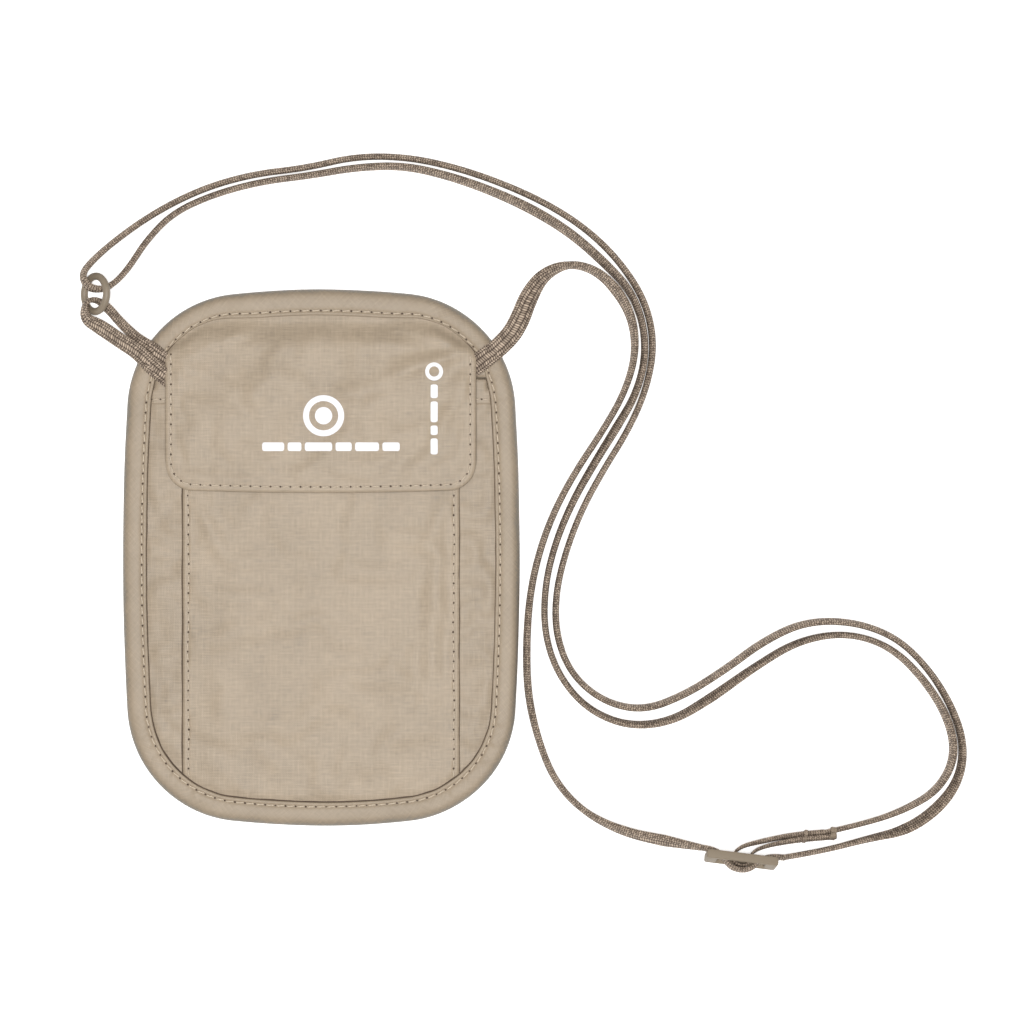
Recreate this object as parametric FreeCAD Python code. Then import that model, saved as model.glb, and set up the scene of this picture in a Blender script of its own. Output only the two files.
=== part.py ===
import FreeCAD, Part
import math
import os

# Neck pouch wallet, lying on its back on the plane z = 0, in millimetres.
# X runs across the pouch, Y towards its top edge, Z from its back to its front flap.
# The origin is the middle of the pouch's back.

Vector = FreeCAD.Vector
X_AXIS = Vector(1, 0, 0)
Y_AXIS = Vector(0, 1, 0)
Z_AXIS = Vector(0, 0, 1)

# Pouch outline: top and bottom arcs, side arcs and corner arcs, all tangent
half_width = 66.5
half_height = 90.0
end_arc_radius = 270.0
side_arc_radius = 900.0
corner_radius = 39.5

# Edge binding: a folded band that holds the edges of all the layers
binding_width = 7.6
binding_height = 4.5
binding_cloth = 0.5
binding_rim = 1.6
binding_round = 1.4
seam_inset = 6.3
thread_width = 0.4
thread_height = 0.15

# Cutting blocks reach this far past what they cut
cut_margin = 1.0

# Layers, by the height of each one's underside above the back
panel_inset = 1.8
back_z = 0.5
cloth = 0.4
shield = 0.2
front_z = 2.3
slip_z = 3.1
hem_z = 3.5
centre_z = 3.6
centre_cloth = 0.35

# Mouths and hems, as heights along Y
front_mouth = 60.4
yoke_start = 67.6
slip_mouth = 60.0
slip_hem_end = 51.5
centre_mouth = 48.0
centre_hem_end = 40.5
centre_half_width = 46.5
centre_seam_inset = 1.9
shield_inset = 9.0
front_shield_top = 53.0
hem_seam_setback = 1.0
hem_end_gap = 1.6

# Coil zip of the main compartment, along X under the flap
zip_y = 64.0
zip_half_length = 46.0
tape_half_length = 51.0
tape_width = 9.0
tape_thickness = 0.35
tape_z = 1.95
coil_gap = 0.6
coil_width = 1.8
coil_height = 1.0
coil_round = 0.4
stop_length = 2.0
left_stop_gap = 0.2
right_stop_gap = 1.2
zip_slider_x = 38.0
zip_slider_length = 9.0
zip_slider_width = 6.8
zip_plate = 0.65
zip_clearance = 0.1
zip_corner = 1.6
zip_post = 0.9
post_length = 2.0
post_setback = 1.0
crown_width = 2.4
crown_height = 0.75
crown_wall = 1.2
crown_hole_height = 0.45
crown_front_setback = 2.2
crown_back_setback = 2.0
pull_length = 16.0
pull_width = 4.6
pull_thickness = 0.6
pull_gap = 0.05
pull_reach = 1.8
pull_corner = 2.0
pull_hole_radius = 1.3
pull_hole_setback = 3.4

# Flap: it folds about a line along X at its top and lies closed over the pockets
fold_y = 69.4
fold_gap = 0.15
flap_half_width = 52.2
flap_bottom = 21.7
flap_bow = 1.1
flap_corner = 9.5
flap_lining_z = 5.3
flap_lining = 0.3
flap_top_z = 6.0
flap_seam_inset = 2.0
yoke_half_width = 50.0
yoke_top = 83.0
yoke_low_z = 3.45
yoke_cloth = 0.5

# Hook and loop closure under the flap's lower edge
closure_half_length = 24.0
closure_y = 33.0
closure_width = 12.0
closure_corner = 2.0
loop_height = 0.6
hook_height = 0.55

# Neck strap: a flat tubular braid, drawn as a round tube of the braid's thickness
strap_width = 7.0
strap_tube = 2.4
loop_tube = 2.1
strap_sewn = 0.45
tack_height = 0.15
tack_share = 0.2
tack_margin = 1.0
left_end_extra = 2.0
right_sewn_line = ((48.0, 61.4), (58.6, 69.4))
left_sewn_line = ((-47.6, 61.2), (-57.4, 67.7))
floor_lay = 3.5

# Round plastic ring that links the strap to the short loop
ring_centre = Vector(-75.6, 88.5, 5.4)
ring_radius = 5.9
ring_bar = 1.2
ring_tilt = 43.0

# Tri-glide slider, standing nearly on its long edge, strap woven through its two slots
slider_length = 24.0
slider_width = 11.0
slider_thickness = 2.9
slider_end_bar = 4.0
slider_slot = 6.5
slider_rail = 2.0
slider_edge = 0.6
slider_centre = Vector(141.1, -101.3, 5.75)
slider_tilt = 74.0
slider_heading = -7.0
weave_thickness = 1.3
fold_thickness = 1.2
woven_width = 5.8
tack_length = 1.2
tack_width = 4.0

# Each tangent arc of a cord takes this share of its shorter run
arc_share = 0.45

# Strap, from its sewn end at the flap's right corner down to the slider
anchor_route = [
    (57.0, 68.2, 6.4), (62.8, 73.0, 6.1), (66.8, 79.6, 4.9), (69.6, 87.4, 3.7),
    (74.6, 95.2, floor_lay), (83.2, 99.0, floor_lay), (92.2, 96.8, floor_lay),
    (99.6, 90.0, floor_lay), (104.8, 80.4, floor_lay), (105.9, 68.4, floor_lay),
    (102.1, 55.4, floor_lay), (94.6, 42.4, floor_lay), (86.1, 29.8, floor_lay),
    (78.9, 16.8, floor_lay), (73.6, 3.0, floor_lay), (70.2, -12.0, floor_lay),
    (68.6, -28.6, floor_lay), (69.2, -46.0, floor_lay), (73.0, -61.6, floor_lay),
    (78.6, -75.4, floor_lay), (88.4, -85.8, floor_lay), (101.4, -92.2, floor_lay),
    (115.4, -95.2, 4.4),
]

# Strap, from the slider round the right-hand bend, over the top and down to the ring
outer_route = [
    (169.6, -99.8, 4.2), (184.0, -95.6, floor_lay), (197.4, -92.4, floor_lay),
    (208.8, -84.6, floor_lay), (216.2, -74.6, floor_lay), (217.8, -62.6, floor_lay),
    (213.4, -50.2, floor_lay), (204.8, -37.2, floor_lay), (193.2, -26.6, floor_lay),
    (178.4, -21.4, floor_lay), (162.4, -21.6, floor_lay), (148.6, -28.2, floor_lay),
    (136.0, -37.6, floor_lay), (122.4, -46.2, floor_lay), (108.2, -51.6, floor_lay),
    (94.6, -48.4, floor_lay), (84.0, -39.2, floor_lay), (79.0, -26.4, floor_lay),
    (78.8, -12.6, floor_lay), (82.0, 1.2, floor_lay), (87.4, 15.6, floor_lay),
    (94.8, 29.2, floor_lay), (103.2, 42.6, floor_lay), (109.4, 56.4, floor_lay),
    (112.1, 71.4, floor_lay), (109.3, 85.6, floor_lay), (101.2, 98.6, floor_lay),
    (90.4, 109.6, floor_lay), (76.6, 118.7, floor_lay), (61.0, 125.8, floor_lay),
    (45.2, 131.2, floor_lay), (28.8, 134.7, floor_lay), (11.6, 134.9, floor_lay),
    (-5.4, 130.9, floor_lay), (-23.2, 128.9, floor_lay), (-40.4, 123.9, floor_lay),
    (-56.2, 115.9, floor_lay), (-69.6, 106.4, floor_lay), (-77.4, 99.6, 4.6), (-81.8, 95.4, 6.4),
    (-78.6, 90.4, 6.6),
]

# Strap, from the ring back beside the outer run to the fold that is sewn round the slider's bar
inner_route = [
    (-72.8, 89.9, 5.2), (-68.6, 92.8, 4.4), (-64.4, 97.8, floor_lay), (-58.6, 106.8, floor_lay),
    (-49.8, 115.9, floor_lay), (-36.2, 122.1, floor_lay), (-20.2, 126.4, floor_lay),
    (-4.0, 128.4, floor_lay), (11.8, 131.2, floor_lay), (27.4, 131.8, floor_lay),
    (42.4, 128.5, floor_lay), (57.4, 123.3, floor_lay), (71.6, 116.8, floor_lay),
    (84.4, 108.8, floor_lay), (95.2, 99.2, floor_lay), (103.8, 90.2, floor_lay),
    (108.4, 79.0, floor_lay), (109.1, 66.8, floor_lay), (105.8, 54.6, floor_lay),
    (99.4, 43.8, floor_lay), (91.8, 31.6, floor_lay), (84.4, 18.6, floor_lay),
    (78.6, 4.6, floor_lay), (75.2, -9.8, floor_lay), (75.0, -25.2, floor_lay),
    (79.4, -39.0, floor_lay), (88.8, -50.6, floor_lay), (102.6, -56.8, floor_lay),
    (117.6, -55.4, floor_lay), (131.6, -47.0, floor_lay), (145.2, -37.2, floor_lay),
    (160.2, -28.0, floor_lay), (176.4, -25.2, floor_lay), (191.4, -29.8, floor_lay),
    (203.6, -41.2, floor_lay), (212.4, -54.4, floor_lay), (214.8, -67.2, floor_lay),
    (208.4, -79.0, floor_lay), (196.2, -86.2, floor_lay), (182.4, -90.6, floor_lay),
]

# Short loop from the flap's left corner, out through the ring and back
loop_route = [
    (-55.6, 70.4, 6.1), (-61.2, 74.6, 6.0), (-66.8, 80.2, 5.2), (-71.4, 85.2, 4.6),
    (-76.0, 86.8, 5.0), (-80.9, 85.0, 5.8), (-81.2, 80.6, 4.8), (-75.2, 75.8, 4.4),
    (-68.6, 71.4, 5.2), (-62.2, 67.8, 6.0), (-56.2, 63.8, 6.1),
]

# Slider's own frame: u along its length, f out of its front face
weave_points = [(-14.0, -2.4), (-7.0, -2.4), (-2.6, 3.9), (2.6, 3.9), (7.0, -2.4), (14.0, -2.4)]
weave_bend = 1.3
fold_points = [
    (26.0, -10.0), (18.0, -8.4), (4.6, -5.2), (-2.25, -2.6), (-2.25, 2.15), (2.25, 2.15), (2.25, -1.6),
    (5.0, -3.9), (18.0, -5.8), (25.4, -7.2),
]
fold_bend = 1.0
fold_gap_to_strap = 0.7
fold_tack_spans = (((15.9, -8.6), (16.1, -5.2)), ((23.8, -10.0), (23.8, -6.4)))


def box(low, high):
    """A block between two opposite corners."""
    size = high - low
    return Part.makeBox(size.x, size.y, size.z, low)


def slot_between(y_low, y_high):
    """A block wider and taller than the pouch, between two heights along Y."""
    reach = 2 * half_width
    return box(Vector(-reach, y_low, -cut_margin), Vector(reach, y_high, 2 * binding_height))


def corner_centre():
    """The upper right corner arc's centre, tangent inside the end arc and the side arc."""
    end_centre = Vector(0, half_height - end_arc_radius, 0)
    side_centre = Vector(half_width - side_arc_radius, 0, 0)
    from_end = end_arc_radius - corner_radius
    from_side = side_arc_radius - corner_radius
    across = side_centre - end_centre
    along = (from_end ** 2 - from_side ** 2 + across.Length ** 2) / (2 * across.Length)
    aside = math.sqrt(from_end ** 2 - along ** 2)
    unit = across / across.Length
    normal = Vector(unit.y, -unit.x, 0)
    return end_centre + unit * along + normal * aside


def outline(inset):
    """The pouch's outline, moved in by inset, as a closed wire of eight tangent arcs."""
    end_centre = Vector(0, half_height - end_arc_radius, 0)
    side_centre = Vector(half_width - side_arc_radius, 0, 0)
    corner = corner_centre()
    end_way = (corner - end_centre).normalize()
    side_way = (corner - side_centre).normalize()
    end_join = end_centre + end_way * (end_arc_radius - inset)
    side_join = side_centre + side_way * (side_arc_radius - inset)
    middle = corner + (end_way + side_way).normalize() * (corner_radius - inset)
    top = Vector(0, half_height - inset, 0)
    side = Vector(half_width - inset, 0, 0)

    def mirrored(point, x_sign, y_sign):
        return Vector(point.x * x_sign, point.y * y_sign, 0)

    edges = [
        Part.Arc(mirrored(end_join, -1, 1), top, end_join),
        Part.Arc(end_join, middle, side_join),
        Part.Arc(side_join, side, mirrored(side_join, 1, -1)),
        Part.Arc(mirrored(side_join, 1, -1), mirrored(middle, 1, -1), mirrored(end_join, 1, -1)),
        Part.Arc(mirrored(end_join, 1, -1), mirrored(top, 1, -1), mirrored(end_join, -1, -1)),
        Part.Arc(mirrored(end_join, -1, -1), mirrored(middle, -1, -1), mirrored(side_join, -1, -1)),
        Part.Arc(mirrored(side_join, -1, -1), mirrored(side, -1, 1), mirrored(side_join, -1, 1)),
        Part.Arc(mirrored(side_join, -1, 1), mirrored(middle, -1, 1), mirrored(end_join, -1, 1)),
    ]
    return Part.Wire([edge.toShape() for edge in edges])


def slab(inset, low, thickness):
    """A flat plate inside the pouch's outline."""
    face = Part.Face(outline(inset))
    face.translate(Z_AXIS * low)
    return face.extrude(Z_AXIS * thickness)


def edge_binding():
    """The folded band round the edge: two legs and a rounded rim, open towards the pouch."""
    body = slab(0, 0, binding_height)
    rim = [edge for edge in body.Edges if edge.BoundBox.ZLength < thread_width]
    body = body.makeFillet(binding_round, rim)
    channel = slab(binding_rim, binding_cloth, binding_height - 2 * binding_cloth)
    window = slab(binding_width, -cut_margin, binding_height + 2 * cut_margin)
    return body.cut(channel).cut(window)


def binding_seam():
    """The stitched line that runs round the binding's front leg."""
    outer = slab(seam_inset - thread_width / 2, binding_height, thread_height)
    inner = slab(seam_inset + thread_width / 2, binding_height - cut_margin, thread_height + 2 * cut_margin)
    return outer.cut(inner)


def panel(low, thickness, y_low, y_high, inset=panel_inset):
    """A cloth layer of the pouch between two heights along Y."""
    return slab(inset, low, thickness).common(slot_between(y_low, y_high))


def centre_panel(low, thickness, y_low, y_high):
    """A layer of the narrower centre pocket."""
    start = Vector(-centre_half_width, y_low, low)
    strip = box(start, Vector(centre_half_width, y_high, low + thickness))
    return slab(panel_inset, low - cut_margin, thickness + 2 * cut_margin).common(strip)


def pocket_seams():
    """The two lines that sew the centre pocket's sides down."""
    seams = []
    top = centre_z + centre_cloth
    inside = slab(binding_width + cloth, top - cut_margin, 2 * cut_margin)
    for side in (-1, 1):
        x = side * (centre_half_width - centre_seam_inset)
        low = Vector(x - thread_width / 2, -half_height, top)
        high = Vector(x + thread_width / 2, centre_hem_end - thread_width, top + thread_height)
        seams.append(box(low, high).common(inside))
    return Part.makeCompound(seams)


def hem_seams():
    """The lines that close the two pocket hems."""
    slip_top = hem_z + centre_cloth
    slip_half = half_width - binding_width - hem_end_gap
    slip_y = slip_hem_end + hem_seam_setback
    slip = box(Vector(-slip_half, slip_y, slip_top),
               Vector(slip_half, slip_y + thread_width, slip_top + thread_height))
    centre_top = centre_z + 2 * centre_cloth
    centre_half = centre_half_width - centre_seam_inset
    centre_y = centre_hem_end + hem_seam_setback
    centre = box(Vector(-centre_half, centre_y, centre_top),
                 Vector(centre_half, centre_y + thread_width, centre_top + thread_height))
    return Part.makeCompound([slip, centre])


def zip_tape(side):
    """One zip tape, on the side of the coil given by its sign."""
    near = zip_y + side * coil_gap
    far = near + side * tape_width
    low = Vector(-tape_half_length, min(near, far), tape_z)
    high = Vector(tape_half_length, max(near, far), tape_z + tape_thickness)
    return box(low, high).common(slab(panel_inset, 0, binding_height))


def zip_coil(side):
    """One row of the coil, sewn on its tape's inner edge."""
    near = zip_y + side * coil_gap
    far = near + side * coil_width
    base = tape_z + tape_thickness
    low = Vector(-zip_half_length, min(near, far), base)
    high = Vector(zip_half_length - zip_slider_length, max(near, far), base + coil_height)
    bar = box(low, high)
    upper = [edge for edge in bar.Edges if edge.BoundBox.ZMin > high.z - thread_width
             and edge.BoundBox.XLength > 2 * zip_slider_length]
    return bar.makeFillet(coil_round, upper)


def zip_stops():
    """The end stops that close both ends of the coil."""
    base = tape_z + tape_thickness
    half = coil_gap + coil_width
    stops = []
    for x in (-zip_half_length - left_stop_gap - stop_length, zip_half_length + right_stop_gap):
        low = Vector(x, zip_y - half, base)
        stops.append(box(low, Vector(x + stop_length, zip_y + half, base + coil_height)))
    return Part.makeCompound(stops)


def zip_slider():
    """Zip slider: two plates joined by a thin post between the coil rows, with a crown on top."""
    coil_top = tape_z + tape_thickness + coil_height + zip_clearance
    x_low = zip_slider_x - zip_slider_length / 2
    x_high = x_low + zip_slider_length
    y_low = zip_y - zip_slider_width / 2
    y_high = zip_y + zip_slider_width / 2
    top = box(Vector(x_low, y_low, coil_top), Vector(x_high, y_high, coil_top + zip_plate))
    under = tape_z - zip_clearance
    bottom = box(Vector(x_low, y_low, under - zip_plate), Vector(x_high, y_high, under))
    plates = []
    for plate in (top, bottom):
        upright = [edge for edge in plate.Edges if edge.BoundBox.ZLength > zip_plate / 2]
        plates.append(plate.makeFillet(zip_corner, upright))
    post_end = x_high - post_setback
    post = box(Vector(post_end - post_length, zip_y - zip_post / 2, under),
               Vector(post_end, zip_y + zip_post / 2, coil_top))
    crown_low = coil_top + zip_plate
    crown_start = x_low + crown_front_setback
    crown_end = x_high - crown_back_setback
    crown = box(Vector(crown_start, zip_y - crown_width / 2, crown_low),
                Vector(crown_end, zip_y + crown_width / 2, crown_low + crown_height))
    hole = box(Vector(crown_start + crown_wall, zip_y - crown_width, crown_low),
               Vector(crown_end - crown_wall, zip_y + crown_width, crown_low + crown_hole_height))
    return plates[0].fuse([plates[1], post, crown]).cut(hole).removeSplitter()


def zip_pull():
    """Pull tab that lies flat along the zip, linked to the slider's crown."""
    low_z = tape_z + tape_thickness + coil_height + zip_clearance + zip_plate + pull_gap
    x_high = zip_slider_x - zip_slider_length / 2 + pull_reach
    x_low = x_high - pull_length
    tab = box(Vector(x_low, zip_y - pull_width / 2, low_z),
              Vector(x_high, zip_y + pull_width / 2, low_z + pull_thickness))
    ends = [edge for edge in tab.Edges if edge.BoundBox.ZLength > pull_thickness / 2]
    tab = tab.makeFillet(pull_corner, ends)
    hole_foot = Vector(x_low + pull_hole_setback, zip_y, low_z - pull_thickness / 2)
    hole = Part.makeCylinder(pull_hole_radius, 2 * pull_thickness, hole_foot)
    return tab.cut(hole)


def flap_face(inset):
    """The flap's face: straight sides, rounded lower corners and a slightly bowed lower edge."""
    half = flap_half_width - inset
    top = fold_y - fold_gap
    low = flap_bottom + inset
    radius = flap_corner - inset
    bow_at_corner = flap_bow * ((half - radius) / half) ** 2
    corner_low = low + bow_at_corner
    diagonal = radius * (1 - math.sqrt(0.5))
    right_side = Vector(half, corner_low + radius, 0)
    right_end = Vector(half - radius, corner_low, 0)
    right_mid = Vector(half - diagonal, corner_low + diagonal, 0)
    left_side = Vector(-right_side.x, right_side.y, 0)
    left_end = Vector(-right_end.x, right_end.y, 0)
    left_mid = Vector(-right_mid.x, right_mid.y, 0)
    edges = [
        Part.LineSegment(Vector(-half, top, 0), Vector(half, top, 0)),
        Part.LineSegment(Vector(half, top, 0), right_side),
        Part.Arc(right_side, right_mid, right_end),
        Part.Arc(right_end, Vector(0, low, 0), left_end),
        Part.Arc(left_end, left_mid, left_side),
        Part.LineSegment(left_side, Vector(-half, top, 0)),
    ]
    return Part.Face(Part.Wire([edge.toShape() for edge in edges]))


def flap_plate(inset, low, thickness):
    """A flat layer of the flap."""
    face = flap_face(inset)
    face.translate(Z_AXIS * low)
    return face.extrude(Z_AXIS * thickness)


def flap_seam():
    """The stitched line along the flap's sides and lower edge."""
    outer = flap_plate(flap_seam_inset - thread_width / 2, flap_top_z, thread_height)
    inner = flap_plate(flap_seam_inset + thread_width / 2, flap_top_z - cut_margin,
                       thread_height + 2 * cut_margin)
    ends = slot_between(0, fold_y - flap_seam_inset)
    return outer.cut(inner).common(ends)


def flap_yoke():
    """The fixed top of the flap, from the fold down under the binding's front leg."""
    low_y = fold_y + fold_gap
    section = [
        Vector(-yoke_half_width, low_y, flap_top_z - 2 * yoke_cloth),
        Vector(-yoke_half_width, low_y, flap_top_z - yoke_cloth / 2),
        Vector(-yoke_half_width, yoke_top - binding_rim, yoke_low_z + yoke_cloth),
        Vector(-yoke_half_width, yoke_top, yoke_low_z + yoke_cloth),
        Vector(-yoke_half_width, yoke_top, yoke_low_z),
        Vector(-yoke_half_width, yoke_top - 2 * binding_rim, yoke_low_z),
    ]
    body = Part.Face(Part.makePolygon(section + section[:1])).extrude(X_AXIS * 2 * yoke_half_width)
    free = slab(binding_width + cloth, 0, 2 * binding_height)
    tucked = slab(binding_rim + cloth, 0, binding_height - binding_cloth)
    return body.common(free.fuse(tucked))


def closure_strip(low, height):
    """A strip of the hook and loop closure."""
    strip = box(Vector(-closure_half_length, closure_y - closure_width / 2, low),
                Vector(closure_half_length, closure_y + closure_width / 2, low + height))
    upright = [edge for edge in strip.Edges if edge.BoundBox.ZLength > height / 2]
    return strip.makeFillet(closure_corner, upright)


def sewn_end(start, end, width):
    """A flat end of the strap, laid over the binding at the flap's corner."""
    along = end - start
    strip = Part.makeBox(along.Length, width, strap_sewn, Vector(0, -width / 2, 0))
    heading = math.degrees(math.atan2(along.y, along.x))
    strip.rotate(Vector(), Z_AXIS, heading)
    strip.translate(start)
    return strip


def bar_tack(centre, heading, width):
    """A dense bar of stitches across a sewn strap end."""
    bar = Part.makeBox(tack_length, width, tack_height, Vector(-tack_length / 2, -width / 2, 0))
    bar.rotate(Vector(), Z_AXIS, heading)
    bar.translate(centre)
    return bar


def tangent_path(points, bend=None):
    """Straight runs joined by tangent arcs; returns the wire and the arcs' radii."""
    edges = []
    radii = []
    start = points[0]
    for before, here, after in zip(points, points[1:], points[2:]):
        back = before - here
        ahead = after - here
        half_turn = (math.pi - back.getAngle(ahead)) / 2
        reach = arc_share * min(back.Length, ahead.Length)
        radius = reach / math.tan(half_turn)
        if bend:
            radius = min(radius, bend)
            reach = radius * math.tan(half_turn)
        back.normalize()
        ahead.normalize()
        arc_start = here + back * reach
        arc_end = here + ahead * reach
        bulge = (back + ahead).normalize() * (radius / math.cos(half_turn) - radius)
        edges.append(Part.LineSegment(start, arc_start).toShape())
        edges.append(Part.Arc(arc_start, here + bulge, arc_end).toShape())
        radii.append(radius)
        start = arc_end
    edges.append(Part.LineSegment(start, points[-1]).toShape())
    return Part.Wire(edges), radii


def tube(name, points, diameter):
    """A round cord along a route, with its radii and its volume printed."""
    path, radii = tangent_path(points)
    circle = Part.Circle(points[0], points[1] - points[0], diameter / 2)
    solid = path.makePipeShell([Part.Wire(circle.toShape())], True, False)
    section = math.pi * (diameter / 2) ** 2
    print(name, "length %.1f mm" % path.Length, "arc radii", [round(radius, 1) for radius in radii])
    print(name, "volume %.1f mm3, section x length %.1f mm3" % (solid.Volume, section * path.Length))
    return solid


def ribbon(points, thickness, bend):
    """An upright ribbon of the slider's own frame, along points given as u and f."""
    path, radii = tangent_path([Vector(u, 0, f) for u, f in points], bend)
    start = points[0]
    ahead = (Vector(points[1][0], 0, points[1][1]) - Vector(start[0], 0, start[1])).normalize()
    aside = Vector(-ahead.z, 0, ahead.x) * (thickness / 2)
    rise = Y_AXIS * (woven_width / 2)
    middle = Vector(start[0], 0, start[1])
    corners = [middle - aside - rise, middle + aside - rise, middle + aside + rise, middle - aside + rise]
    return path.makePipeShell([Part.makePolygon(corners + corners[:1])], True, False)


def slider_placement():
    """Places the slider's own frame: tilted back on its long edge and turned to the strap."""
    tilt = FreeCAD.Rotation(X_AXIS, slider_tilt)
    turn = FreeCAD.Rotation(Z_AXIS, slider_heading)
    return FreeCAD.Placement(slider_centre, turn.multiply(tilt))


def in_slider(shape):
    """Moves a shape from the slider's own frame to its place on the strap."""
    shape.Placement = slider_placement().multiply(shape.Placement)
    return shape


def strap_slider():
    """The tri-glide slider: a plate with two slots and a centre bar between them."""
    half = Vector(slider_length / 2, slider_width / 2, slider_thickness / 2)
    plate = box(-half, half)
    upright = [edge for edge in plate.Edges if edge.BoundBox.ZLength > slider_thickness / 2]
    plate = plate.makeFillet(2 * slider_edge, upright)
    level = [edge for edge in plate.Edges if edge.BoundBox.ZLength < slider_edge]
    plate = plate.makeFillet(slider_edge, level)
    slot_high = half - Vector(slider_end_bar, slider_rail, -1)
    slot_low = Vector(slot_high.x - slider_slot, -slot_high.y, -slot_high.z)
    right_slot = box(slot_low, slot_high)
    left_slot = box(-slot_high, Vector(-slot_low.x, slot_high.y, slot_high.z))
    return in_slider(plate.cut(right_slot).cut(left_slot))


def fold_tacks():
    """The two bar tacks that sew the strap's fold together beside the slider."""
    bars = []
    for outer, inner in fold_tack_spans:
        low = Vector(outer[0] - tack_length / 2, -tack_width / 2, outer[1])
        high = Vector(inner[0] + tack_length / 2, tack_width / 2, inner[1])
        bars.append(box(low, high))
    return in_slider(Part.makeCompound(bars))


def strap_ring():
    """The plastic ring, tilted about the Y direction with its right side raised."""
    torus = Part.makeTorus(ring_radius, ring_bar)
    torus.rotate(Vector(), Y_AXIS, -ring_tilt)
    torus.translate(ring_centre)
    return torus


def as_vectors(route):
    return [Vector(*point) for point in route]


def strap_nodes():
    """The strap's runs, its weave through the slider and the fold sewn round the slider's bar."""
    place = slider_placement()
    weave_start = place.multVec(Vector(weave_points[0][0], 0, weave_points[0][1]))
    weave_end = place.multVec(Vector(weave_points[-1][0], 0, weave_points[-1][1]))
    fold_start = place.multVec(Vector(fold_points[0][0] + fold_gap_to_strap, 0, fold_points[0][1]))
    long_route = [weave_end] + as_vectors(outer_route) + as_vectors(inner_route) + [fold_start]
    return {
        "strap_anchor_run": tube("strap_anchor_run", as_vectors(anchor_route) + [weave_start], strap_tube),
        "strap_long_run": tube("strap_long_run", long_route, strap_tube),
        "strap_loop_left": tube("strap_loop_left", as_vectors(loop_route), loop_tube),
        "strap_weave": in_slider(ribbon(weave_points, weave_thickness, weave_bend)),
        "strap_fixed_loop": in_slider(ribbon(fold_points, fold_thickness, fold_bend)),
        "strap_fold_tacks": fold_tacks(),
        "strap_ring": strap_ring(),
        "strap_slider": strap_slider(),
    }


def strap_ends():
    """The sewn strap ends at the flap's upper corners."""
    low = binding_height + thread_height
    nodes = {}
    for side, line, width in (("right", right_sewn_line, strap_width),
                              ("left", left_sewn_line, strap_width + left_end_extra)):
        start = Vector(*line[0], low)
        end = Vector(*line[1], low)
        heading = math.degrees(math.atan2(end.y - start.y, end.x - start.x))
        tack = start * (1 - tack_share) + end * tack_share + Z_AXIS * strap_sewn
        nodes["strap_anchor_%s" % side] = sewn_end(start, end, width)
        nodes["bar_tack_%s" % side] = bar_tack(tack, heading, width - tack_margin)
    return nodes


def pouch_nodes():
    """The pouch's cloth layers, shields, seams and binding."""
    return {
        "edge_binding": edge_binding(),
        "binding_seam_thread": binding_seam(),
        "back_panel": slab(panel_inset, back_z, cloth),
        "rfid_shield_rear": slab(shield_inset, back_z + cloth, shield),
        "rfid_shield_front": panel(front_z - shield, shield, -half_height, front_shield_top, shield_inset),
        "front_body_panel": panel(front_z, cloth, -half_height, front_mouth),
        "front_yoke_panel": panel(front_z, cloth, yoke_start, half_height),
        "slip_pocket_panel": panel(slip_z, cloth, -half_height, slip_mouth),
        "slip_pocket_hem": panel(hem_z, centre_cloth, slip_hem_end, slip_mouth,
                                 binding_width + cloth),
        "centre_pocket_panel": centre_panel(centre_z, centre_cloth, -half_height, centre_mouth),
        "centre_pocket_hem": centre_panel(centre_z + centre_cloth, centre_cloth,
                                          centre_hem_end, centre_mouth),
        "pocket_seam_threads": pocket_seams(),
        "hem_seam_threads": hem_seams(),
        "flap_yoke": flap_yoke(),
        "closure_loop_strip": closure_strip(centre_z + centre_cloth, loop_height),
    }


def zip_nodes():
    """The main compartment's zip."""
    return {
        "zip_tape_lower": zip_tape(-1),
        "zip_tape_upper": zip_tape(1),
        "zip_coil_lower": zip_coil(-1),
        "zip_coil_upper": zip_coil(1),
        "zip_end_stops": zip_stops(),
        "zip_slider": zip_slider(),
        "zip_pull": zip_pull(),
    }


def flap_nodes():
    """The flap that turns about the fold."""
    return {
        "flap_shell": flap_plate(0, flap_lining_z + flap_lining, flap_top_z - flap_lining_z - flap_lining),
        "flap_lining": flap_plate(cloth, flap_lining_z, flap_lining),
        "closure_hook_strip": closure_strip(flap_lining_z - hook_height, hook_height),
        "flap_seam_thread": flap_seam(),
    }


def main():
    os.makedirs("parts", exist_ok=True)
    nodes = {}
    for group in (pouch_nodes(), zip_nodes(), flap_nodes(), strap_ends(), strap_nodes()):
        nodes.update(group)
    for name, shape in nodes.items():
        shape.exportStep("parts/%s.step" % name)
        bounds = shape.BoundBox
        print("%-22s solids %d valid %s volume %9.2f  x %.1f..%.1f  y %.1f..%.1f  z %.2f..%.2f" % (
            name, len(shape.Solids), shape.isValid(), shape.Volume, bounds.XMin, bounds.XMax,
            bounds.YMin, bounds.YMax, bounds.ZMin, bounds.ZMax))


main()
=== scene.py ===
import math

import bpy
import numpy as np
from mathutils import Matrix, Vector, noise
from mathutils.bvhtree import BVHTree


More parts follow.
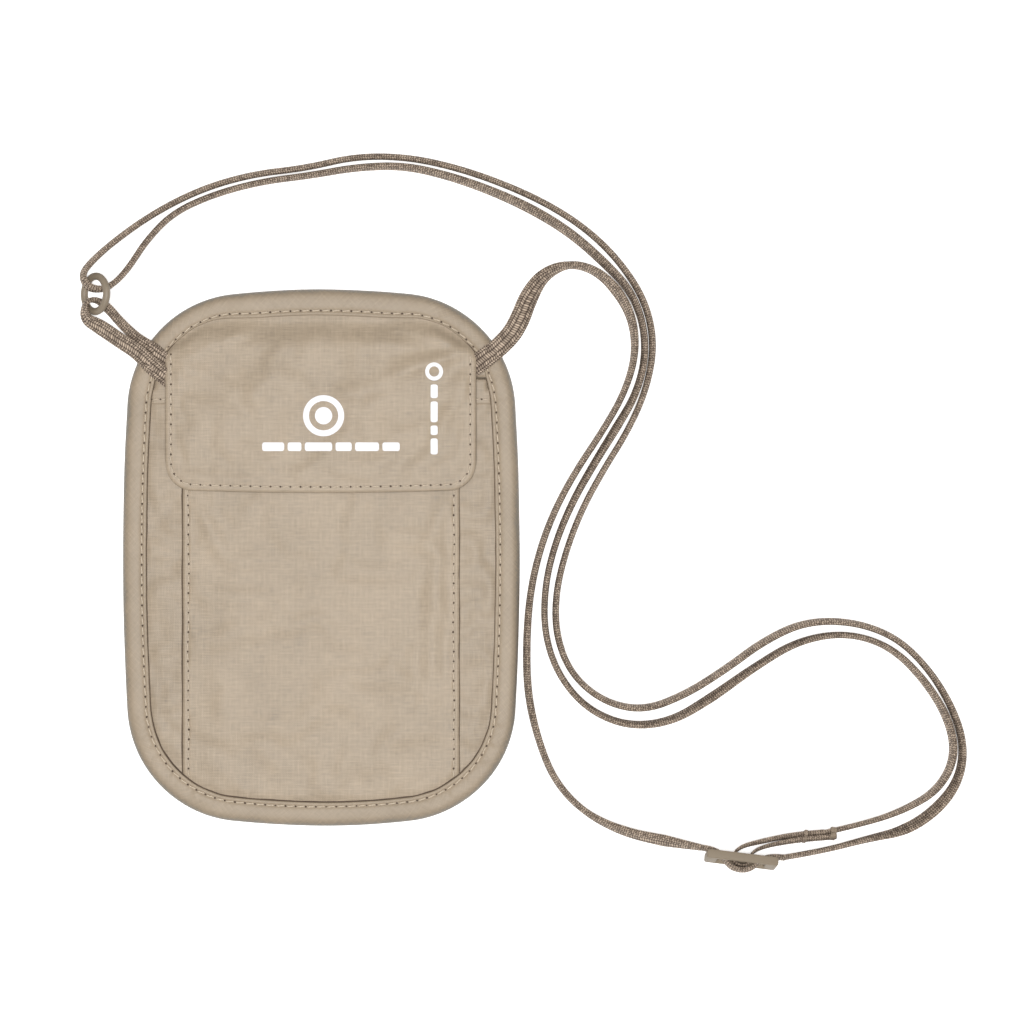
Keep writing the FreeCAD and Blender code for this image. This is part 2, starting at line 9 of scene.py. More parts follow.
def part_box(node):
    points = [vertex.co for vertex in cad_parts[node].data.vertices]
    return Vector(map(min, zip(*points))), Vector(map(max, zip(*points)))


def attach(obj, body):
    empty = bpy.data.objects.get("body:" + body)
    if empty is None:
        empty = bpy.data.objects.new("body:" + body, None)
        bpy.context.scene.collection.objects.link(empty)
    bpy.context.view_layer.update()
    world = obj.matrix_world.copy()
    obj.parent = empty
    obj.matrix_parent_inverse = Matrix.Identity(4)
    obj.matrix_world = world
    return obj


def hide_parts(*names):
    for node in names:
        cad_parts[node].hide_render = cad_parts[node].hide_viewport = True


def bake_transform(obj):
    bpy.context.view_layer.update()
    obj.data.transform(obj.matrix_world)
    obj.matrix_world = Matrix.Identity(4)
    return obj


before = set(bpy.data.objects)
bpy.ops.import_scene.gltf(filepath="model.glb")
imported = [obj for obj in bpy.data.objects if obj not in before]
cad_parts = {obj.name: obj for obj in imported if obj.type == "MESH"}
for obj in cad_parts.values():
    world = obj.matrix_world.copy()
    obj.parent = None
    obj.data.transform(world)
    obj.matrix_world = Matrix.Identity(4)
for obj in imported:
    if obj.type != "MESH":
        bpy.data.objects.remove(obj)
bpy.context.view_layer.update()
scene = bpy.context.scene
MM = 0.001


# ---------------------------------------------------------------- camera

def make_camera():
    """Straight down over the pouch and its strap, as a 100 mm lens sees them."""
    camera = bpy.data.cameras.new("camera")
    camera.lens = 100.0
    camera.sensor_width = 36.0
    camera.clip_start = 0.01
    rig = bpy.data.objects.new("camera", camera)
    rig.location = (0.0642, 0.0153, 0.960)
    scene.collection.objects.link(rig)
    scene.camera = rig


make_camera()


# ---------------------------------------------------------------- node helpers

class Tree:
    """A material's node tree, with short ways to add nodes."""

    def __init__(self, name):
        self.material = bpy.data.materials.new(name)
        self.material.use_nodes = True
        self.nodes = self.material.node_tree.nodes
        self.links = self.material.node_tree.links
        self.shader = self.nodes["Principled BSDF"]

    def put(self, socket, value):
        """Gives a socket a link or a fixed value."""
        if isinstance(value, bpy.types.NodeSocket):
            self.links.new(value, socket)
        else:
            socket.default_value = value

    def node(self, kind, **inputs):
        node = self.nodes.new(kind)
        for name, value in inputs.items():
            self.put(node.inputs[name], value)
        return node

    def feed(self, node, *values):
        """Fills a node's first inputs in order; None leaves one alone."""
        for value, socket in zip(values, node.inputs):
            if value is not None:
                self.put(socket, value)
        return node.outputs[0]

    def math(self, operation, a, b=None, c=None, clamp=False):
        node = self.nodes.new("ShaderNodeMath")
        node.operation = operation
        node.use_clamp = clamp
        return self.feed(node, a, b, c)

    def times(self, a, b):
        return self.math("MULTIPLY", a, b)

    def minus(self, a, b):
        return self.math("SUBTRACT", a, b)

    def gain(self, value, factor, base):
        return self.math("MULTIPLY_ADD", value, factor, base)

    def uv(self):
        node = self.nodes.new("ShaderNodeUVMap")
        node.uv_map = "Cloth"
        parts = self.nodes.new("ShaderNodeSeparateXYZ")
        self.feed(parts, node.outputs[0])
        return parts.outputs[0], parts.outputs[1]

    def place(self):
        return self.nodes.new("ShaderNodeTexCoord").outputs["Object"]

    def vector(self, x, y, z=0.0):
        return self.feed(self.nodes.new("ShaderNodeCombineXYZ"), x, y, z)

    def noise(self, vector, scale, detail=2.0, roughness=0.5):
        return self.node("ShaderNodeTexNoise", Vector=vector, Scale=scale, Detail=detail,
                         Roughness=roughness).outputs["Fac"]

    def white(self, vector):
        return self.node("ShaderNodeTexWhiteNoise", Vector=vector).outputs["Value"]

    def ramp(self, factor, *stops):
        """Colours along a ramp; any stops after the first two may come in any order."""
        node = self.nodes.new("ShaderNodeValToRGB")
        self.feed(node, factor)
        ramp = node.color_ramp
        for place, colour in stops[2:]:
            ramp.elements.new(place)
        for element, (place, colour) in zip(ramp.elements, sorted(stops, key=lambda stop: stop[0])):
            element.position = place
            element.color = (*colour, 1.0)
        return node.outputs[0]

    def set(self, name, value):
        """Gives one of the surface's own inputs a link or a fixed value."""
        self.put(self.shader.inputs[name], value)

    def rough(self, factor, low, high):
        node = self.nodes.new("ShaderNodeMapRange")
        self.set("Roughness", self.feed(node, factor, None, None, low, high))

    def bump(self, height, strength, distance):
        node = self.node("ShaderNodeBump", Strength=strength, Distance=distance, Height=height)
        self.set("Normal", node.outputs[0])


# Cloth and thread patterns, in millimetres where they are lengths
WEAVE_PITCH = 0.62
GRID_PITCH = 1.9
RIB_SHARPNESS = 14.0
SLUB_LENGTH, SLUB_WIDTH = 0.22, 3.6
# RIM_SHADE: width in millimetres of the painted shade along the binding's rim.
RIM_SHADE = 3.4
YARN_SLANT = 0.5
PLY_TURN = 6.283


def shade(colour, factor):
    return tuple(channel * factor for channel in colour)


def ripstop(name, colour, turn=0.0, contrast=1.0, rough=0.46, rim=0.0):
    """Plain-woven nylon with a small ripstop grid, slubs and slow changes of tone; given a rim, it also
    carries painted shade and a blue-grey painted reflection along that rim.
    """
    tree = Tree(name)
    times, minus, gain = tree.times, tree.minus, tree.gain
    x, y = tree.uv()
    edge = tree.math("ABSOLUTE", minus(y, rim)) if rim else None
    if turn:
        across, along = tree.math("ADD", x, y), minus(x, y)
        x, y = times(across, turn), times(along, turn)
    streak_x = tree.noise(tree.vector(times(x, SLUB_LENGTH), times(y, SLUB_WIDTH)), 1.0, 2.0, 0.6)
    streak_y = tree.noise(tree.vector(times(x, SLUB_WIDTH), times(y, SLUB_LENGTH), 5.0), 1.0, 2.0, 0.6)
    patch = tree.noise(tree.vector(x, y, 9.0), 0.07, 2.0, 0.5)
    weave = times(*[tree.math("SINE", times(way, 2 * math.pi / WEAVE_PITCH)) for way in (x, y)])
    ribs = [tree.math("ABSOLUTE", tree.math("COSINE", times(way, math.pi / GRID_PITCH))) for way in (x, y)]
    rib_x, rib_y = (tree.math("POWER", rib, RIB_SHARPNESS) for rib in ribs)
    grid = tree.math("ADD", times(rib_x, streak_y), times(rib_y, streak_x))
    tone = gain(streak_x, 1.15 * contrast, 0.46 - 0.575 * contrast)
    tone = gain(minus(streak_y, 0.5), 0.75 * contrast, tone)
    tone = gain(minus(patch, 0.5), 0.5, tone)
    tone = gain(grid, 0.22 * contrast, tone)
    tone = gain(weave, 0.16 * contrast, tone)
    # Painted shade and reflection: within RIM_SHADE mm of the rim the tone falls towards the blue-grey stop,
    # as if the rounded edge turned away from the light.
    if rim:
        painted_rim_shade = tree.math("SUBTRACT", 1.0, tree.math("DIVIDE", edge, RIM_SHADE), clamp=True)
        tone = gain(painted_rim_shade, -0.7, tone)
    # The blue-grey lowest stop is the colour of the painted rim shade and reflection, and elsewhere the
    # darkest end of the random tone.
    grey = (colour[0] * 0.60, colour[1] * 0.67, colour[2] * 0.76)
    tree.set("Base Color", tree.ramp(tone, (0.0, grey), (0.92, shade(colour, 1.22)),
                                     (0.2, shade(colour, 0.82)), (0.5, shade(colour, 0.99))))
    tree.bump(gain(weave, 0.5, times(grid, 1.0)), 0.25, 0.00010)
    tree.rough(streak_x, rough - 0.05, rough + 0.07)
    tree.set("Specular IOR Level", 0.34)
    return tree.material


def braid(name, light, dark):
    """Flat tubular braid: columns of slanted yarns that meet in chevrons, with painted shade in the grooves
    between yarns and columns.
    """
    tree = Tree(name)
    times, minus, gain = tree.times, tree.minus, tree.gain
    along, around = tree.uv()
    column = tree.math("FLOOR", around)
    place = tree.math("FRACT", around)
    odd = tree.math("MODULO", column, 2.0)
    slant = tree.math("ADD", times(odd, minus(1.0, place)), times(minus(1.0, odd), place))
    phase = gain(slant, YARN_SLANT, along)
    hump = tree.math("SINE", times(tree.math("FRACT", phase), math.pi))
    crown = tree.math("SINE", times(place, math.pi))
    profile = times(tree.math("POWER", hump, 0.7), tree.math("POWER", crown, 0.55))
    pick = tree.white(tree.vector(tree.math("FLOOR", phase), column, 3.0))
    fibre = tree.noise(tree.vector(times(phase, 9.0), times(around, 2.0)), 1.0, 2.0, 0.6)
    slow = tree.noise(tree.vector(times(along, 0.05), times(around, 0.3)), 1.0, 2.0)
    # Painted shade: the colour falls to the dark stop in the grooves between yarns and columns; pick gives
    # each yarn its own tone.
    tone = times(profile, gain(pick, 0.62, 0.52))
    tone = gain(minus(fibre, 0.5), 0.35, tone)
    tone = gain(minus(slow, 0.5), 0.25, tone)
    middle = tuple(bright * 0.45 + dim * 0.55 for bright, dim in zip(light, dark))
    tree.set("Base Color", tree.ramp(tone, (0.10, dark), (0.95, light), (0.5, middle)))
    tree.bump(gain(fibre, 0.25, profile), 0.55, 0.0003)
    tree.rough(fibre, 0.6, 0.85)
    tree.set("Specular IOR Level", 0.3)
    return tree.material


def thread_material(name, light, dark):
    """Two-ply sewing thread."""
    tree = Tree(name)
    along, around = tree.uv()
    ply = tree.math("SINE", tree.gain(along, 14.0, tree.times(around, PLY_TURN)))
    fuzz = tree.noise(tree.place(), 2500.0, 3.0, 0.6)
    tree.set("Base Color", tree.ramp(tree.gain(ply, 0.22, fuzz), (0.2, dark), (0.8, light)))
    tree.bump(ply, 0.5, 0.00008)
    tree.rough(fuzz, 0.45, 0.7)
    return tree.material


def speckled(name, colour, scale, spread=0.12, low=0.4, high=0.6, bump=0.1, depth=0.0001, metallic=0.0):
    """A moulded, printed, foil or metal surface with fine mottling, or a dark mottled sheet of painted shade.
    """
    tree = Tree(name)
    fine = tree.noise(tree.place(), scale, 4.0, 0.6)
    broad = tree.noise(tree.place(), scale * 0.06, 2.0, 0.5)
    tone = tree.gain(broad, 0.6, tree.times(fine, 0.4))
    dim, bright = shade(colour, 1 - spread), shade(colour, 1 + spread)
    tree.set("Base Color", tree.ramp(tone, (0.3, dim), (0.7, bright)))
    tree.rough(fine, low, high)
    tree.bump(fine, bump, depth)
    tree.set("Metallic", metallic)
    return tree.material


CLOTH = (0.385, 0.306, 0.220)
materials = {
    "ripstop": ripstop("ripstop_cloth", CLOTH),
    "strip": ripstop("ripstop_pocket", shade(CLOTH, 0.96)),
    # The binding's rim, 13.2 mm along its profile, gets the painted shade.
    "binding": ripstop("binding_tape", shade(CLOTH, 0.95), turn=0.7071, contrast=0.6, rough=0.46, rim=13.2),
    # Near-black brown for the strips of painted shadow in seams and under edges.
    "gap": speckled("painted_seam_shadow", (0.115, 0.082, 0.056), 2500.0, 0.3, 0.8, 1.0),
    "lining": ripstop("lining_cloth", (0.30, 0.27, 0.23), contrast=0.5, rough=0.5),
    "zip_tape": ripstop("zip_tape_cloth", (0.27, 0.22, 0.17), turn=0.7071, contrast=1.2, rough=0.75),
    # The braid's near-black dark colour is the painted shade in its grooves.
    "braid": braid("strap_braid", (0.62, 0.49, 0.375), (0.040, 0.024, 0.016)),
    "thread": thread_material("sewing_thread", (0.76, 0.65, 0.51), (0.45, 0.36, 0.26)),
    "tack": thread_material("tack_thread", (0.52, 0.42, 0.31), (0.16, 0.115, 0.08)),
    # Dark brown discs of painted shade in the needle holes.
    "hole": speckled("needle_hole_shade", (0.085, 0.058, 0.040), 3000.0, 0.4, 0.8, 1.0),
    "shield": speckled("shield_foil", (0.50, 0.50, 0.51), 700.0, 0.15, 0.3, 0.5, 0.4, 0.0002, 0.85),
    "closure": speckled("closure_pile", (0.33, 0.27, 0.205), 2600.0, 0.45, 0.8, 1.0, 0.9, 0.0004),
    "coil": speckled("zip_coil_nylon", (0.25, 0.20, 0.15), 900.0, 0.12, 0.3, 0.45, 0.1, 0.0001),
    "metal": speckled("zip_metal", (0.40, 0.36, 0.30), 1500.0, 0.1, 0.28, 0.45, 0.08, 0.0001, 0.9),
    "ring": speckled("ring_plastic", (0.255, 0.205, 0.148), 1400.0, 0.09, 0.42, 0.6, 0.12, 0.0001),
    "slider": speckled("slider_plastic", (0.250, 0.198, 0.138), 1400.0, 0.08, 0.55, 0.72, 0.12, 0.0001),
    "ink": speckled("white_print", (0.90, 0.89, 0.90), 1800.0, 0.06, 0.5, 0.7, 0.15, 0.0001),
}


# ---------------------------------------------------------------- mesh helpers

def build(name, points, faces, loop_uvs=None, looks=("ripstop",), face_looks=None):
    """A mesh object from points in millimetres, with one UV pair for each face corner."""
    mesh = bpy.data.meshes.new(name)
    mesh.from_pydata((np.asarray(points, float) * MM).tolist(), [], np.asarray(faces).tolist()
                     if isinstance(faces, np.ndarray) else faces)
    layer = mesh.uv_layers.new(name="Cloth")
    if loop_uvs is None:
        index = np.zeros(len(mesh.loops), int)
        mesh.loops.foreach_get("vertex_index", index)
        loop_uvs = np.asarray(points, float)[index][:, :2]
    layer.data.foreach_set("uv", np.asarray(loop_uvs, np.float32).ravel())
    for look in looks:
        mesh.materials.append(materials[look])
    if face_looks is not None:
        mesh.polygons.foreach_set("material_index", np.asarray(face_looks, np.int32))
    mesh.polygons.foreach_set("use_smooth", [True] * len(mesh.polygons))
    mesh.update()
    piece = bpy.data.objects.new(name, mesh)
    scene.collection.objects.link(piece)
    return piece


def finish_piece(piece, body, replaced=()):
    """Rides on its body and stands for its CAD nodes, which it hides."""
    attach(piece, body)
    if replaced:
        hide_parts(*replaced)
    return piece


def solidify(piece, thickness):
    modifier = piece.modifiers.new("thickness", "SOLIDIFY")
    modifier.thickness = thickness * MM
    modifier.offset = -1.0
    return piece


def subdivide(piece):
    modifier = piece.modifiers.new("smooth", "SUBSURF")
    modifier.levels = modifier.render_levels = 1
    return piece


def apply_modifiers(piece):
    """Puts the piece's modifiers into its mesh."""
    graph = bpy.context.evaluated_depsgraph_get()
    mesh = bpy.data.meshes.new_from_object(piece.evaluated_get(graph), depsgraph=graph)
    piece.modifiers.clear()
    piece.data = mesh
    return piece


def sheet_quads(rows, columns, wrap=False):
    """Faces of a grid of points, rows by columns, closed round the columns if asked."""
    spans = columns if wrap else columns - 1
    row = np.arange(rows - 1)[:, None] * columns
    column = np.arange(spans)[None, :]
    after = (column + 1) % columns
    corners = [row + column, row + after, row + columns + after, row + columns + column]
    return np.stack(corners, -1).reshape(-1, 4)


def band_quads(rows, columns, wrap=False):
    """The same with the last row joined back to the first."""
    return sheet_quads(rows + 1, columns, wrap) % (rows * columns)


def only_used(points, faces):
    """The points that faces use, and the faces counted anew."""
    used, back = np.unique(faces, return_inverse=True)
    return points[used], back.reshape(faces.shape)


def facing_up(points, faces):
    a, b, _, d = points[faces[0]]
    return faces[:, ::-1] if np.cross(b - a, d - a)[2] < 0 else faces


def run_along(points):
    """How far along a line each of its points lies."""
    return np.concatenate([[0], np.cumsum(np.linalg.norm(np.diff(points, axis=0), axis=1))])


def at_places(places, runs, points):
    return np.stack([np.interp(places, runs, column) for column in points.T], 1)


def box_mm(node):
    low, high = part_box(node)
    return np.array(low) / MM, np.array(high) / MM


def sheet_uvs(u, v):
    """UV pairs for sheet_quads, from the rows' and the column edges' values."""
    rows, spans = len(u) - 1, len(v) - 1
    low_u = np.repeat(u[:-1, None], spans, 1)
    high_u = np.repeat(u[1:, None], spans, 1)
    low_v = np.repeat(v[None, :-1], rows, 0)
    high_v = np.repeat(v[None, 1:], rows, 0)
    corners = [(low_u, low_v), (low_u, high_v), (high_u, high_v), (high_u, low_v)]
    return np.stack([np.stack(corner, -1) for corner in corners], 2).reshape(-1, 2)


def wobble(points, wavelength, seed):
    """Smooth noise from -1 to 1 at each point, in millimetres."""
    scale = 1.0 / wavelength
    return np.array([noise.noise(Vector((p[0] * scale, p[1] * scale, seed))) for p in points])


def unit(vectors):
    return vectors / np.linalg.norm(vectors, axis=-1, keepdims=True)


def smooth_step(value, low, high):
    t = np.clip((value - low) / (high - low), 0.0, 1.0)
    return t * t * (3 - 2 * t)


# ---------------------------------------------------------------- strap

BRAID_COLUMNS = 14
BRAID_PITCH = 0.82
RIBBON_SQUARENESS = 0.78
TACK_SQUARENESS = 0.45
TACK_SHARE, TACK_STITCHES, TACK_THREAD = 0.2, 13, 0.15
TWIST_RELIEF, TWIST_RATE = 0.12, 5
RUN_STEP, HELD_STEP = 0.00033, 0.00025
YARN_RELIEF = 0.15
SLIDER_CENTRE = np.array([141.1, -101.3, 5.75])
SLIDER_TILT = math.radians(74.0)
SLIDER_HEADING = math.radians(-7.0)
FLOOR_LIFT = 0.35
RING_BAR, RING_BAR_CAD = 1.22, 1.2
RING_TILT = math.radians(43.0)
SLIDER_PLATE = (24.0, 11.0, 2.9)
SLIDER_SLOT, SLIDER_SLOT_X = (6.5, 7.0, 8.0), 4.75
SLIDER_ROUND, SLIDER_CROWN = 0.62, 0.35

LIE = 0.0035


def route(*points):
    """Route points in metres; those without a height lie on the floor."""
    return [point if len(point) == 3 else (*point, LIE) for point in points]


ANCHOR_ROUTE = route(
    (0.0570, 0.0682, 0.0064), (0.0628, 0.0730, 0.0061), (0.0668, 0.0796, 0.0049),
    (0.0696, 0.0874, 0.0037), (0.0746, 0.0952), (0.0832, 0.0990), (0.0922, 0.0968), (0.0996, 0.0900),
    (0.1048, 0.0804), (0.1059, 0.0684), (0.1021, 0.0554), (0.0946, 0.0424), (0.0861, 0.0298),
    (0.0789, 0.0168), (0.0736, 0.0030), (0.0702, -0.0120), (0.0690, -0.0286), (0.0694, -0.0460),
    (0.0730, -0.0616), (0.0786, -0.0754), (0.0884, -0.0858), (0.1014, -0.0922),
    (0.1154, -0.0952, 0.0044), (0.1275, -0.0973, 0.0051),
)
LONG_ROUTE = route(
    (0.1553, -0.1007, 0.0051), (0.1684, -0.0987, 0.0042), (0.1834, -0.0947), (0.1968, -0.0918),
    (0.2078, -0.0842), (0.2148, -0.0744), (0.2162, -0.0626), (0.2122, -0.0502), (0.2042, -0.0372),
    (0.1932, -0.0266), (0.1784, -0.0214), (0.1624, -0.0216), (0.1486, -0.0282), (0.1360, -0.0376),
    (0.1224, -0.0462), (0.1082, -0.0516), (0.0946, -0.0484), (0.0840, -0.0392), (0.0790, -0.0264),
    (0.0788, -0.0126), (0.0820, 0.0012), (0.0874, 0.0156), (0.0948, 0.0292), (0.1032, 0.0426),
    (0.1094, 0.0564), (0.1121, 0.0714), (0.1093, 0.0856), (0.1012, 0.0986), (0.0904, 0.1096),
    (0.0766, 0.1187), (0.0610, 0.1258), (0.0452, 0.1312), (0.0288, 0.1347), (0.0116, 0.1349),
    (-0.0054, 0.1309), (-0.0232, 0.1289), (-0.0404, 0.1239), (-0.0562, 0.1159), (-0.0696, 0.1064),
    (-0.0776, 0.0990, 0.0046), (-0.0802, 0.0946, 0.0064), (-0.0778, 0.0903, 0.0066),
    (-0.0728, 0.0899, 0.0052), (-0.0686, 0.0928, 0.0044), (-0.0644, 0.0978), (-0.0586, 0.1068),
    (-0.0498, 0.1159), (-0.0362, 0.1221), (-0.0202, 0.1264), (-0.0040, 0.1284), (0.0118, 0.1312),
    (0.0274, 0.1318), (0.0424, 0.1285), (0.0574, 0.1233), (0.0716, 0.1168), (0.0844, 0.1088),
    (0.0952, 0.0992), (0.1038, 0.0902), (0.1084, 0.0790), (0.1091, 0.0668), (0.1058, 0.0546),
    (0.0994, 0.0438), (0.0918, 0.0316), (0.0844, 0.0186), (0.0786, 0.0046), (0.0752, -0.0098),
    (0.0750, -0.0252), (0.0794, -0.0390), (0.0888, -0.0506), (0.1026, -0.0568), (0.1176, -0.0554),
    (0.1316, -0.0470), (0.1452, -0.0372), (0.1602, -0.0280), (0.1764, -0.0252), (0.1914, -0.0298),
    (0.2030, -0.0412), (0.2112, -0.0544), (0.2134, -0.0672), (0.2074, -0.0784), (0.1956, -0.0852),
    (0.1824, -0.0896), (0.1688, -0.0927, 0.0030),
)
LOOP_ROUTE = route(
    (-0.0505, 0.0650, 0.0044), (-0.0556, 0.0694, 0.0056), (-0.0612, 0.0732, 0.0060),
    (-0.0668, 0.0784, 0.0052), (-0.0718, 0.0842, 0.0046), (-0.0756, 0.0868, 0.0050),
    (-0.0790, 0.0860, 0.0058), (-0.0794, 0.0802, 0.0048), (-0.0740, 0.0774, 0.0044),
    (-0.0674, 0.0728, 0.0052), (-0.0614, 0.0692, 0.0060), (-0.0562, 0.0638, 0.0057),
    (-0.0505, 0.0592, 0.0046),
)
# Lean of the strap's upper edge to the left of its run, in degrees, by route point
ANCHOR_LEAN = {0: 78, 1: 80, 2: 74, 3: 62, 4: 34, 5: 6, 6: 12, 7: 21, 8: 14, 9: 6, 10: 3, 13: 4, 15: 6, 16: 9,
               17: 10, 18: 7, 20: 8, 21: 24, 22: 34, 23: 17}
LONG_LEAN = {0: 16, 1: 11, 2: 2, 3: -15, 4: -16, 5: -8, 6: -4, 9: 3, 12: 6, 15: 4, 18: -5, 22: 3, 25: -4,
             28: 2, 32: 4, 36: 8, 38: 10, 40: 22, 41: 24, 42: 4, 43: -8, 45: -10, 48: -5, 51: 4, 54: 14,
             56: 12, 58: 4, 60: 8, 61: 14, 62: 10, 64: 3, 67: 2, 69: -5, 71: -14, 72: -8, 75: 3, 77: 8,
             79: 2, 82: -16}
LOOP_LEAN = {0: -84, 1: -64, 2: -42, 3: -36, 4: -34, 5: -10, 6: 18, 7: 44, 8: 55, 9: 54, 10: 58, 11: 70,
             12: 86}
ANCHOR_WIDTH = {0: 6.6, 2: 7.0, 20: 7.0, 22: 6.8, 23: 6.2}
LONG_WIDTH = {0: 6.2, 2: 7.0, 37: 7.0, 40: 5.4, 42: 5.0, 45: 7.0, 79: 7.0, 82: 6.2}
LOOP_WIDTH = {0: 4.0, 1: 5.2, 4: 5.4, 6: 4.8, 8: 6.2, 11: 6.4, 12: 5.4}
ANCHOR_DEPTH = {0: 2.0, 3: 2.1, 5: 2.25, 20: 2.25, 22: 2.25, 23: 1.9}
LONG_DEPTH = {0: 1.7, 2: 2.25, 38: 2.25, 41: 1.9, 44: 2.25, 80: 2.25, 82: 1.6}
LOOP_DEPTH = {0: 1.0, 1: 1.7, 5: 1.8, 11: 1.8, 12: 1.0}


def spline_points(name, route, resolution=24):
    """Points of the smooth line through a route's control points, in metres."""
    curve = bpy.data.curves.new(name, "CURVE")
    curve.dimensions = "3D"
    curve.resolution_u = resolution
    spline = curve.splines.new("NURBS")
    spline.points.add(len(route) - 1)
    for point, place in zip(spline.points, route):
        point.co = (*place, 1.0)
    spline.order_u = 3
    spline.use_endpoint_u = True
    holder = bpy.data.objects.new(name, curve)
    mesh = bpy.data.meshes.new_from_object(holder)
    points = np.array([vertex.co for vertex in mesh.vertices], float)
    bpy.data.objects.remove(holder)
    return points


def even_points(points, step):
    """The same line with points an even step apart."""
    runs = run_along(points)
    places = np.linspace(0, runs[-1], int(runs[-1] / step) + 1)
    return at_places(places, runs, points), places


def keyed(keys, route, points, places):
    """A value given at some route points, carried along the line."""
    share = np.arange(len(points)) / len(points)
    marks, values = [], []
    for index, value in keys.items():
        out_of_turn = 0.0004 * abs(share - index / (len(route) - 1)) * len(route)
        near = np.argmin(np.linalg.norm(points - np.array(route[index]), axis=1) + out_of_turn)
        marks.append(places[near])
        values.append(value)
    order = np.argsort(marks)
    return np.interp(places, np.array(marks)[order], np.array(values, float)[order])


def ribbon(name, points, wide, widths, depths, body, columns=BRAID_COLUMNS):
    """A flat tubular braid swept along points in millimetres; wide is the way its broad side runs."""
    tangent = unit(np.gradient(points, axis=0))
    wide = unit(wide - tangent * np.sum(wide * tangent, 1, keepdims=True))
    thin = np.cross(tangent, wide)
    lanes = columns * 3
    turn = np.arange(lanes) / lanes * 2 * math.pi
    flat = np.sign(np.cos(turn)) * np.abs(np.cos(turn)) ** RIBBON_SQUARENESS
    round_side = np.sign(np.sin(turn)) * np.abs(np.sin(turn)) ** RIBBON_SQUARENESS
    rows = len(points)
    along = run_along(points) / BRAID_PITCH
    column = np.arange(lanes) / 3.0
    place = column % 1.0
    slant = np.where(np.floor(column) % 2 == 1, 1 - place, place)
    phase = along[:, None] + YARN_SLANT * slant[None, :]
    crown = 0.35 + 0.65 * np.sin(np.pi * place[None, :]) ** 0.5
    relief = np.abs(np.sin(np.pi * phase)) ** 0.7 * crown * YARN_RELIEF
    half_wide = widths[:, None] / 2 - YARN_RELIEF + relief
    half_deep = depths[:, None] / 2 - YARN_RELIEF + relief
    rings = (points[:, None, :] + wide[:, None, :] * (half_wide * flat[None, :])[..., None]
             + thin[:, None, :] * (half_deep * round_side[None, :])[..., None])
    faces = sheet_quads(rows, lanes, wrap=True).tolist()
    uvs = sheet_uvs(along, np.arange(lanes + 1) / 3.0)
    vertices = rings.reshape(-1, 3)
    for row, step in ((0, -1), (rows - 1, 1)):
        ring = list(range(row * lanes, row * lanes + lanes))
        faces.append(ring if step > 0 else ring[::-1])
        uvs = np.concatenate([uvs, np.stack([np.full(lanes, along[row]), np.arange(lanes) / 3.0], 1)])
    piece = build(name, vertices, faces, uvs, ("braid",))
    if body:
        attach(piece, body)
    return piece


def strap_run(name, route, lean, widths, depths, body=None):
    """A strap run over the floor, and the points that it follows."""
    points, places = even_points(spline_points(name + "_line", route), RUN_STEP)
    tangent = unit(np.gradient(points, axis=0))
    left = unit(np.cross(np.array([0.0, 0.0, 1.0])[None, :], tangent))
    up = np.cross(tangent, left)
    angle = np.radians(keyed(lean, route, points, places))[:, None]
    wide = up * np.cos(angle) + left * np.sin(angle)
    piece = ribbon(name, points / MM, wide, keyed(widths, route, points, places),
                   keyed(depths, route, points, places), body)
    return piece, points


def in_slider(u, v, f):
    """A point of the slider's own frame: along it, up its plate and out of its front."""
    y = v * math.cos(SLIDER_TILT) - f * math.sin(SLIDER_TILT)
    z = v * math.sin(SLIDER_TILT) + f * math.cos(SLIDER_TILT)
    x_turned = u * math.cos(SLIDER_HEADING) - y * math.sin(SLIDER_HEADING)
    y_turned = u * math.sin(SLIDER_HEADING) + y * math.cos(SLIDER_HEADING)
    return SLIDER_CENTRE + np.array([x_turned, y_turned, z])


def slider_strap(name, local, width, depths, node):
    """A strap length held in the slider, along points of the slider's own frame, clear of the floor."""
    route = [tuple(in_slider(u, FLOOR_LIFT * max(0.0, -9.5 - f), f) * MM) for u, f in local]
    points, places = even_points(spline_points(name + "_line", route, 40), HELD_STEP)
    up = in_slider(0, 1, 0) - SLIDER_CENTRE
    wide = np.repeat(up[None, :], len(points), 0)
    piece = ribbon(name, points / MM, wide, np.full(len(points), width),
                   keyed(depths, route, points, places), "slider")
    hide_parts(node)
    return piece


def thread_path(points, radius, sides=6, phase=0.0):
    """Points, faces and UVs of a thin two-ply thread along points in millimetres."""
    points = np.asarray(points, float)
    tangent = unit(np.gradient(points, axis=0))
    guide = np.where(np.abs(tangent[:, 2:3]) > 0.9, np.array([[1.0, 0.0, 0.0]]), np.array([[0.0, 0.0, 1.0]]))
    side = unit(np.cross(guide, tangent))
    up = np.cross(tangent, side)
    turn = np.arange(sides) / sides * 2 * math.pi
    steps = run_along(points)
    grown = radius * (1 + TWIST_RELIEF * np.cos(2 * turn[None, :] + steps[:, None] * TWIST_RATE + phase))
    rings = (points[:, None, :] + side[:, None, :] * (grown * np.cos(turn))[..., None]
             + up[:, None, :] * (grown * np.sin(turn))[..., None])
    faces = sheet_quads(len(points), sides, wrap=True).tolist()
    faces.append(list(range(sides))[::-1])
    faces.append(list(range((len(points) - 1) * sides, len(points) * sides)))
    uvs = sheet_uvs(steps, np.arange(sides + 1) / sides)
    ends = np.stack([np.zeros(sides), np.arange(sides) / sides], 1)
    return rings.reshape(-1, 3), faces, np.concatenate([uvs, ends, ends])


